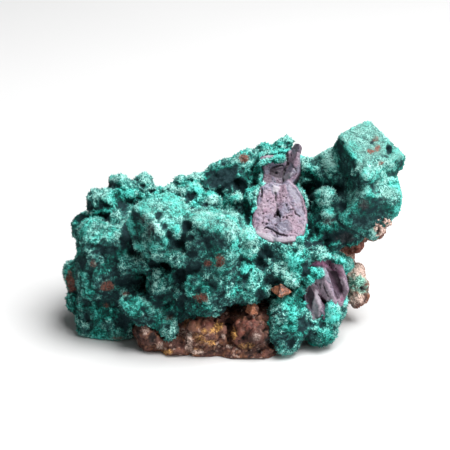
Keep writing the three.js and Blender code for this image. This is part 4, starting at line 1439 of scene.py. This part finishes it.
class MineralRockSettings(bpy.types.PropertyGroup):
    # Umber to tan run from the rock's low places to its raised grains, the umber partly painted shade; hole
    # is painted shade in the pits and holes.
    umber: colour_setting("Umber", "Dark rock", (0.022, 0.01, 0.008))
    brown: colour_setting("Brown", "Rock", (0.1, 0.038, 0.029))
    tan: colour_setting("Tan", "Raised grains of the rock", (0.22, 0.096, 0.07))
    ochre_dark: colour_setting("Dark ochre", "Orange-brown clouds", (0.3, 0.12, 0.04))
    ochre: colour_setting("Ochre", "Ochre spots", (0.74, 0.4, 0.115))
    pale_grain: colour_setting("Pale grain", "Pinkish white grains", (0.82, 0.62, 0.53))
    red_dark: colour_setting("Red dark", "Reddish patches, hollows", (0.03, 0.008, 0.005))
    red_light: colour_setting("Red light", "Reddish patches, raised grains", (0.22, 0.06, 0.04))
    green_dark: colour_setting("Green dark", "Green film on the rock, dark grains", (0.02, 0.12, 0.09))
    green: colour_setting("Green", "Green film on the rock", (0.4, 0.82, 0.66))
    hole: colour_setting("Hole", "Pits and holes in the rock", (0.008, 0.005, 0.005))
    rust_dark: colour_setting("Rust dark", "Rusted crystal, dark", (0.055, 0.016, 0.01))
    rust_light: colour_setting("Rust light", "Rusted crystal, light", (0.38, 0.135, 0.065))
    rust_pale: colour_setting("Rust pale", "Rusted crystal, pale grains", (0.6, 0.32, 0.2))


class MineralStageSettings(bpy.types.PropertyGroup):
    floor_half: size_setting("Floor half width", "Half the width of the floor, in m", 3.0)
    key_power: size_setting("Key power", "Power of the upper light, in W", 5.9, 0.01, 100.0)
    fill_power: size_setting("Fill power", "Power of the light from the right, in W", 2.6, 0.0, 100.0)
    sky: size_setting("Sky", "Brightness of the white surround", 0.14, 0.0, 5.0)


SETTINGS = {
    "mineral_crust": MineralCrustSettings,
    "mineral_velvet": MineralVelvetSettings,
    "mineral_cuprite": MineralCupriteSettings,
    "mineral_rock": MineralRockSettings,
    "mineral_stage": MineralStageSettings,
}


# ------------------------------------------------------------------------------------- pieces


class MINERAL_OT_crust(bpy.types.Operator):
    """Malachite crust: the frame's crust softened, then raised in knobs, tufts and crumbs"""

    bl_idname = "mineral.crust"
    bl_label = "Malachite crust"

    def execute(self, context):
        s = context.scene.mineral_crust
        lumps = [block(*row[:-1]) for row in BLOCKS.values()] + ellipsoids(ADDED_LUMPS)
        mesh = remeshed(merged_copy("malachite_crust", *lumps), CRUST_FIRST_QUAD)
        raise_knobs(mesh, s)
        mesh = remeshed(mesh, s.voxel)
        raise_small(mesh, s.tuft_size, s.tuft_height, reach=0.8, seed=SEED + 1, calmed=0.65)
        raise_small(mesh, s.crumb_size, s.crumb_height, reach=0.85, seed=SEED + 2, calmed=0.3)
        mesh = thinned(mesh, CRUST_TRIANGLES)
        put_points(mesh, points_of(mesh))
        points = points_of(mesh)
        normals = normals_of(mesh)
        # The height attribute is a tone with painted shade in the creases and painted light on what faces up.
        height = tones_with_painted_light(mesh, points, normals)
        put_values(mesh, "height", height)
        put_values(mesh, "dust", dusted(points, normals, height))
        for kind in ("rust", "dull"):
            put_values(mesh, kind, patches(points, normals, kind))
        shade_smooth(mesh)
        placed("malachite_crust_grown", mesh, malachite_material(s), "malachite", "malachite_crust")
        return {"FINISHED"}


def raise_knobs(mesh, s):
    """Softens the crust, trims it and raises its knobs and named forms, less on calm faces, and not on the
    broken crystals or the ground."""
    points = points_of(mesh)
    calm = calmness(points)
    free = (1 - in_crystal(points, 0.4)) * grounded(points)
    softer = smoothed(mesh, points, 8)
    points = collared(trimmed(points + (softer - points) * ((1 - 0.85 * calm) * free)[:, None]))
    put_points(mesh, points)
    normals = normals_of(mesh)
    knobs = knots(wavy(points, 0.5, 2.0, seed=3), s.knob_size, SEED)
    lift = domes(knobs, reach=0.85, level=0.62, height=s.knob_height, least=0.6, spread=0.8)
    lift = lift * (1 - 0.92 * calm) - s.inset
    lift += stroked(points, FORMS_AND_PAINTED_LIGHT) + rim_of_left_block(points)
    put_points(mesh, points + normals * (lift * free)[:, None])


def raise_small(mesh, size, height, reach, seed, calmed):
    """Raises small lumps of one size all over the crust, less on calm faces."""
    points = points_of(mesh)
    normals = normals_of(mesh)
    free = (1 - in_crystal(points, 0.3)) * grounded(points)
    lumps = knots(wavy(points, 0.3, 0.9, seed=5), size, seed)
    lift = domes(lumps, reach, level=0.6, height=height, least=0.5) * (1 - calmed * calmness(points))
    put_points(mesh, points + normals * (lift * free)[:, None])


def collared(points):
    """Points close outside each broken crystal's outline and below its face, raised along the face's normal
    to stand level with it."""
    for at, turn, outline in CRYSTALS.values():
        q = local(points, at, turn)
        beside = 1 - soft(0.4, 1.5, to_outline(q[:, :2], outline))
        low = soft(-3.5, -2.0, q[:, 2]) * (1 - soft(-0.6, 0.2, q[:, 2]))
        points = points + (COLLAR * beside * low)[:, None] * turned(turn)[:, 2]
    return points


def trimmed(points):
    """Points that stand past a flat cut, moved back onto it."""
    for place, normal, middle, half in CUTS.values():
        n = np.array(normal) / np.linalg.norm(normal)
        within = 1 - soft(0.85, 1.15, np.abs((points - middle) / half).max(1))
        points = points - (np.maximum((points - place) @ n, 0) * within)[:, None] * n
    return points


def rim_of_left_block(points):
    """The left block's end face lies inside a raised rim: its local x is near -1 and its across is near 1."""
    at, half, turn = BLOCKS["left block"][:3]
    q = local(points, at, turn) / np.array(half)
    across = np.maximum(np.abs(q[:, 1]), np.abs(q[:, 2]))
    facing = 1 - soft(-1.0, -0.75, q[:, 0])
    raised = 0.45 * soft(0.6, 0.78, across)
    sunk = 0.25 * (1 - soft(0.55, 0.7, across))
    on_block = 1 - soft(1.2, 1.4, across)
    return facing * (raised - sunk) * on_block


def tones_with_painted_light(mesh, points, normals):
    """Tone from 0 in the creases to 1 on the tops, with painted shade and painted light in it: how far each
    point stands out, on a fine and on a coarse scale, which darkens the creases as painted shade, with a lift
    for what faces up towards the upper light as painted light, clouds, the fine pattern and the strokes of
    tone, which also hold painted shade and painted light. It levels off above BRIGHT."""
    # Painted shade: what lies lower than its neighbours is made darker.
    fine = standing(mesh, points, normals, 6)
    coarse = standing(mesh, points, normals, 60)
    # Painted light: slopes that face the upper light are made lighter.
    up = soft(-0.5, 1.0, normals @ np.array(PAINTED_LIGHT_DIRECTION))
    cloud = ripples(points, 3.0, seed=91, octaves=3)
    tone = 0.27 + 1.0 * fine + 0.4 * coarse + 0.34 * (up - 0.5) + 0.12 * cloud + 0.14 * speckle(points)
    tone += stroked(points, FORMS_AND_PAINTED_LIGHT, which=1)
    room = 0.3
    levelled = BRIGHT + room * np.tanh((tone - BRIGHT) / room)
    return np.clip(np.where(tone > BRIGHT, levelled, tone), 0, 1)


def dusted(points, normals, height):
    """Dust on the flat faces of the blocks, in clouds, more on those that face up and none in the dark."""
    up = 0.15 + 0.85 * soft(0.0, 0.8, normals[:, 2])
    lit = soft(0.1, 0.4, height)
    clouds = 0.7 + 1.0 * ripples(points, 1.6, seed=93, octaves=3)
    return np.clip(calmness(points) * up * lit * clouds, 0, 1)


class MINERAL_OT_velvet(bpy.types.Operator):
    """Velvet: closed three-sided needles that fan out in bundles all over the crust"""

    bl_idname = "mineral.velvet"
    bl_label = "Malachite velvet"

    def execute(self, context):
        s = context.scene.mineral_velvet
        material = velvet_material(context.scene.mineral_crust, s)
        surface = grown_surface()
        for k, name in enumerate(("malachite_velvet_a", "malachite_velvet_b")):
            rng = np.random.default_rng(SEED + k)
            root, up, high = rooted(surface, s.needles, rng)
            lean = leaned(root, up, rng)
            calm = calmness(root)
            length = s.length * rng.uniform(0.5, 1.5, s.needles) * (0.6 + 0.6 * high) * (1 - 0.45 * calm)
            radius = s.radius * rng.uniform(0.7, 1.4, s.needles)
            mesh = needles_mesh(name, root, lean, length, radius, rng)
            own = (0.25 + high) * (0.26 * speckle(root) + rng.normal(0, 0.16, s.needles))
            # The tone follows the crust's tone at each root, so it carries the same painted shade and painted
            # light.
            values = {
                "tone": np.clip(0.11 + 0.82 * high + own, 0, 1),
                "dust": dusted(root, up, high) * rng.uniform(0.3, 1, s.needles),
                "rust": patches(root, up, "rust"),
                "dull": patches(root, up, "dull"),
            }
            for kind, value in values.items():
                put_values(mesh, kind, np.repeat(value, NEEDLE_CORNERS))
            put_values(mesh, "along", np.tile((0.0, 0.0, 0.0, 1.0), s.needles))
            placed(name, mesh, material, "malachite")
        return {"FINISHED"}


def grown_surface():
    """The grown crust's vertex places, normals and heights, the corners of its triangles, and their areas,
    with nothing for those on the ground or in the broken crystals."""
    crust = bpy.data.objects["malachite_crust_grown"].data
    crust.calc_loop_triangles()
    corners = np.empty(len(crust.loop_triangles) * 3, np.int32)
    crust.loop_triangles.foreach_get("vertices", corners)
    corners = corners.reshape(-1, 3)
    points = points_of(crust)
    height = np.empty(len(points), np.float32)
    crust.attributes["height"].data.foreach_get("value", height)
    p = points[corners]
    area = np.linalg.norm(np.cross(p[:, 1] - p[:, 0], p[:, 2] - p[:, 0]), axis=1) / 2
    middle = p.mean(1)
    shown = (middle[:, 2] > 0.5) & (in_crystal(middle, 0.25) < 0.3)
    return points, normals_of(crust), height, corners, area * shown


def rooted(surface, count, rng):
    """Random roots, spread evenly over the surface: their places, normals and heights."""
    points, normals, height, corners, area = surface
    pick = corners[np.searchsorted(np.cumsum(area), rng.random(count) * area.sum())]
    share = rng.dirichlet((1, 1, 1), count)
    root = (points[pick] * share[:, :, None]).sum(1)
    up = (normals[pick] * share[:, :, None]).sum(1)
    up /= np.linalg.norm(up, axis=1)[:, None]
    return root, up, (height[pick] * share).sum(1)


def leaned(root, up, rng):
    """Directions that fan out from the middle of each bundle, with some disorder."""
    step = knots(root, BUNDLE, SEED + 3).step
    step -= (step * up).sum(1)[:, None] * up
    lean = up + 1.1 * step / BUNDLE + 0.3 * rng.normal(size=up.shape)
    return lean / np.linalg.norm(lean, axis=1)[:, None]


def needles_mesh(name, root, lean, length, radius, rng):
    """One closed needle per root: a triangle of that radius square to the lean, and a tip at that length."""
    side = np.cross(lean, np.where(np.abs(lean[:, 2:]) < 0.8, (0.0, 0.0, 1.0), (1.0, 0.0, 0.0)))
    side /= np.linalg.norm(side, axis=1)[:, None]
    other = np.cross(lean, side)
    turn = rng.uniform(0, 2 * np.pi, len(root))
    ring = []
    for k in range(3):
        angle = (turn + 2 * np.pi * k / 3)[:, None]
        out = radius[:, None] * (np.cos(angle) * side + np.sin(angle) * other)
        ring.append(root - NEEDLE_DEPTH * lean + out)
    ring.append(root + length[:, None] * lean)
    points = np.stack(ring, axis=1).reshape(-1, 3)
    points[:, 2] = np.maximum(points[:, 2], 0)
    first = NEEDLE_CORNERS * np.arange(len(root))[:, None]
    pattern = np.array(((0, 1, 3), (1, 2, 3), (2, 0, 3), (0, 2, 1)))
    faces = (first[:, :, None] + pattern[None]).reshape(-1, 3)
    return mesh_of(name, points, faces)


class MINERAL_OT_cuprite(bpy.types.Operator):
    """Broken cuprite crystals: the frame's crystals with fine relief, pits and cracks on their faces"""

    bl_idname = "mineral.cuprite"
    bl_label = "Broken cuprite"

    def execute(self, context):
        material = cuprite_material(context.scene.mineral_cuprite)
        for name, (at, turn, outline) in CRYSTALS.items():
            mesh = remeshed(merged_copy(name), CUPRITE_QUAD)
            points = points_of(mesh)
            normals = normals_of(mesh)
            facing = normals @ turned(turn)[:, 2]
            front = soft(0.2, 0.6, facing)
            lift, (pink, dark, pale, hollow) = broken_face(name, points, front)
            rim = broken_rim(points, to_outline(local(points, at, turn)[:, :2], outline), front)
            pale = np.maximum(pale, FINISH[name][2] * rim * (1 - dark))
            beside = 1 - soft(0.1, 0.4, np.abs(facing))
            put_points(mesh, trimmed(points + normals * (lift * front + 0.2 * beside)[:, None]))
            put_values(mesh, "pink", pink)
            put_values(mesh, "dark", np.maximum(dark, 0.45 * (1 - front)))
            put_values(mesh, "pale", pale)
            put_values(mesh, "hollow", hollow)
            shade_smooth(mesh)
            placed(name + "_broken", mesh, material, "cuprite", name)
        return {"FINISHED"}


def broken_face(name, points, front):
    """How far the marks raise each point of a broken face, in mm, and its shares of pink, dark, pale and
    hollow. The marks' edges are made uneven by smooth noise."""
    rough, steps, _ = FINISH[name]
    seen = in_picture(points)[:, :2]
    across = seen + 1.1 * np.stack([ripples(points, 0.8, seed, octaves=3) for seed in (35, 36)], axis=1)
    lift = 0.1 * ripples(points, 1.3, seed=31) + rough * ripples(points, 0.5, seed=32)
    shares = np.zeros((len(points), 4))
    for shape, raised, slopes, share in PLANES[name].values():
        held = (1 - soft(-0.4, 0.6, to_outline(across, shape))) * front
        tilt = (seen - np.mean(shape, axis=0)) @ np.array(slopes)
        lift = lift + held * (raised + tilt) * steps
        shares += held[:, None] * (np.array(share) - shares)
    sunk = []
    for path, half, depth in CRACKS[name].values():
        sunk.append((depth, 1 - soft(0.4 * half, 1.6 * half, to_path(across, path))))
    for x, y, wide, high, depth in PITS[name].values():
        away = np.linalg.norm((across - (x, y)) / (wide, high), axis=1)
        sunk.append((depth, 1 - soft(0.5, 1.3, away)))
    for depth, held in sunk:
        lift = lift - depth * (held * front)
        # The hollow share in cracks and pits is painted shade.
        shares[:, 3] = np.maximum(shares[:, 3], held * front)
    return lift, shares.T


def broken_rim(points, outside, front):
    """1 along a broken face's outline, with an uneven inner edge and with gaps."""
    uneven = 0.25 * ripple(points, 0.9, seed=37)
    kept = soft(0.0, 0.25, ripples(points, 1.8, seed=38, octaves=3))
    return (1 - soft(0.0, 0.35, uneven - outside)) * front * kept


class MINERAL_OT_rock(bpy.types.Operator):
    """Limonite matrix: the frame's rock softened, then roughened with lumps, grains and pits"""

    bl_idname = "mineral.rock"
    bl_label = "Limonite rock"

    def execute(self, context):
        mesh = remeshed(merged_copy("matrix", *ellipsoids(ROCK_LUMPS.values())), ROCK_QUAD)
        points = points_of(mesh)
        free = grounded(points)
        points = points + (smoothed(mesh, points, 6) - points) * free[:, None]
        put_points(mesh, points)
        normals = normals_of(mesh)
        sponge = 1 - soft(0.85, 1.0, np.linalg.norm((points - POROUS[0]) / POROUS[1], axis=1))
        pit = rock_pits(points, sponge)
        put_points(mesh, points + normals * ((rock_relief(points) - 0.6 * pit) * free)[:, None])
        points = points_of(mesh)
        normals = normals_of(mesh)
        fine = standing(mesh, points, normals, 10)
        cloud = ripples(points, 3.0, seed=47, octaves=3)
        # Tone: lighter where the rock stands out and darker where it lies low, partly painted shade.
        put_values(mesh, "height", np.clip(0.5 + 1.2 * fine + 0.2 * cloud, 0, 1))
        # The hollow share paints the pits and the strokes of shade near black: painted shade.
        put_values(mesh, "hollow", np.clip(np.maximum(pit, stroked(points, PAINTED_SHADE)), 0, 1))
        put_values(mesh, "pale", patches(points, normals, "pale", more=0.65 * sponge))
        for kind in ("ochre", "green", "red"):
            put_values(mesh, kind, patches(points, normals, kind))
        shade_smooth(mesh)
        placed("limonite_rock", mesh, limonite_material(context.scene.mineral_rock), "limonite", "matrix")
        return {"FINISHED"}


def rock_relief(points):
    """How far the rock is raised, in mm: lumps, waves, named forms, and grains with sunken seams between."""
    lumps = knots(wavy(points, 0.4, 1.2, seed=44), 2.6, seed=41)
    grains = knots(wavy(points, 0.3, 0.6, seed=45), 1.0, seed=46)
    lift = domes(lumps, reach=0.9, level=0.6, height=0.9, least=0.5)
    lift = lift + 0.5 * ripples(points, 1.8, seed=42) - 0.15
    lift += stroked(points, ROCK_FORMS)
    seams = 0.25 * (soft(0.02, 0.2, grains.edge) - 0.7)
    lift += domes(grains, reach=0.85, level=0.6, height=0.3, least=0.4) + seams
    return lift


def rock_pits(points, sponge):
    """Pits in the rock, 0 to 1: round ones at a quarter of the centres, and closer ones in the sponge."""
    spots = knots(wavy(points, 0.35, 0.5, seed=49), 1.5, seed=43)
    round_pits = (1 - soft(0.16, 0.34, spots.near)) * (spots.tag > 0.75)
    holes = 1 - soft(0.38, 0.5, knots(points, 0.75, seed=48).near)
    return np.maximum(round_pits, sponge * holes)


class MINERAL_OT_rusty(bpy.types.Operator):
    """Small rusted crystals: the frame's octahedron and cube with worn edges"""

    bl_idname = "mineral.rusty"
    bl_label = "Rusty crystals"

    def execute(self, context):
        material = rusty_material(context.scene.mineral_rock)
        for name in ("rusty_octahedron", "rusty_cube"):
            mesh = remeshed(merged_copy(name), RUSTY_QUAD)
            points = smoothed(mesh, points_of(mesh), 4)
            put_points(mesh, points)
            worn = 0.2 * ripples(points, 0.9, seed=61)
            put_points(mesh, points + normals_of(mesh) * worn[:, None])
            shade_smooth(mesh)
            placed(name + "_worn", mesh, material, "rusty_crystal", name)
        return {"FINISHED"}


class MINERAL_OT_stage(bpy.types.Operator):
    """Stage: a pale floor, two soft lights, a white surround and the camera"""

    bl_idname = "mineral.stage"
    bl_label = "Floor, lights and camera"

    def execute(self, context):
        s = context.scene.mineral_stage
        scene = context.scene
        lay_floor(s.floor_half)
        for name, (place, width, power) in LIGHTS.items():
            light = bpy.data.lights.new(name, "AREA")
            light.shape = "DISK"
            light.size = width
            light.energy = getattr(s, power)
            aimed(bpy.data.objects.new(name, light), place)
        world = bpy.data.worlds.new("white surround")
        world.use_nodes = True
        surround = world.node_tree.nodes["Background"]
        plug(world.node_tree, surround, Color=(1, 1, 1, 1), Strength=s.sky)
        scene.world = world
        lens = bpy.data.cameras.new("camera")
        lens.lens = LENS
        lens.sensor_width = SENSOR
        scene.camera = aimed(bpy.data.objects.new("camera", lens), Vector(view_axes()[0]) * MM)
        scene.view_settings.view_transform = "Standard"
        return {"FINISHED"}


def lay_floor(h):
    """A pale square on the ground, with its half width in m."""
    mesh = bpy.data.meshes.new("floor")
    mesh.from_pydata([(-h, -h, 0), (h, -h, 0), (h, h, 0), (-h, h, 0)], [], [(0, 1, 2, 3)])
    material, tree, shader = blank("pale floor", roughness=0.9)
    noise = tree.nodes.new("ShaderNodeTexNoise")
    plug(tree, noise, Vector=tree.nodes.new("ShaderNodeTexCoord").outputs["Object"], Scale=9.0)
    plug(tree, shader, Base_Color=mask(tree, noise.outputs["Fac"], (0.3, 0.6), (0.7, 0.62)))
    mesh.materials.append(material)
    piece = bpy.data.objects.new("floor", mesh)
    bpy.context.scene.collection.objects.link(piece)


def aimed(piece, place):
    """Places a light or the camera, in m, and turns it towards the target."""
    piece.location = place
    piece.rotation_euler = (Vector(TARGET) * MM - piece.location).to_track_quat("-Z", "Y").to_euler()
    bpy.context.scene.collection.objects.link(piece)
    return piece


OPERATORS = (
    MINERAL_OT_crust,
    MINERAL_OT_velvet,
    MINERAL_OT_cuprite,
    MINERAL_OT_rock,
    MINERAL_OT_rusty,
    MINERAL_OT_stage,
)


class MINERAL_PT_panel(bpy.types.Panel):
    """Lists the operators and the settings of the specimen"""

    bl_idname = "MINERAL_PT_panel"
    bl_label = "Malachite on cuprite"
    bl_space_type = "VIEW_3D"
    bl_region_type = "UI"
    bl_category = "Mineral"

    def draw(self, context):
        for operator in OPERATORS:
            self.layout.operator(operator.bl_idname)
        for name, group in SETTINGS.items():
            box = self.layout.box()
            for setting in group.__annotations__:
                box.prop(getattr(context.scene, name), setting)


def register():
    """Registers the settings, the operators and the panel."""
    for name, group in SETTINGS.items():
        bpy.utils.register_class(group)
        setattr(bpy.types.Scene, name, bpy.props.PointerProperty(type=group))
    for operator in OPERATORS:
        bpy.utils.register_class(operator)
    bpy.utils.register_class(MINERAL_PT_panel)


def unregister():
    """Takes back what register added."""
    bpy.utils.unregister_class(MINERAL_PT_panel)
    for operator in reversed(OPERATORS):
        bpy.utils.unregister_class(operator)
    for name, group in SETTINGS.items():
        delattr(bpy.types.Scene, name)
        bpy.utils.unregister_class(group)


def main():
    """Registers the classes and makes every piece."""
    register()
    bpy.ops.mineral.crust()
    bpy.ops.mineral.velvet()
    bpy.ops.mineral.cuprite()
    bpy.ops.mineral.rock()
    bpy.ops.mineral.rusty()
    bpy.ops.mineral.stage()


if __name__ == "__main__":
    main()
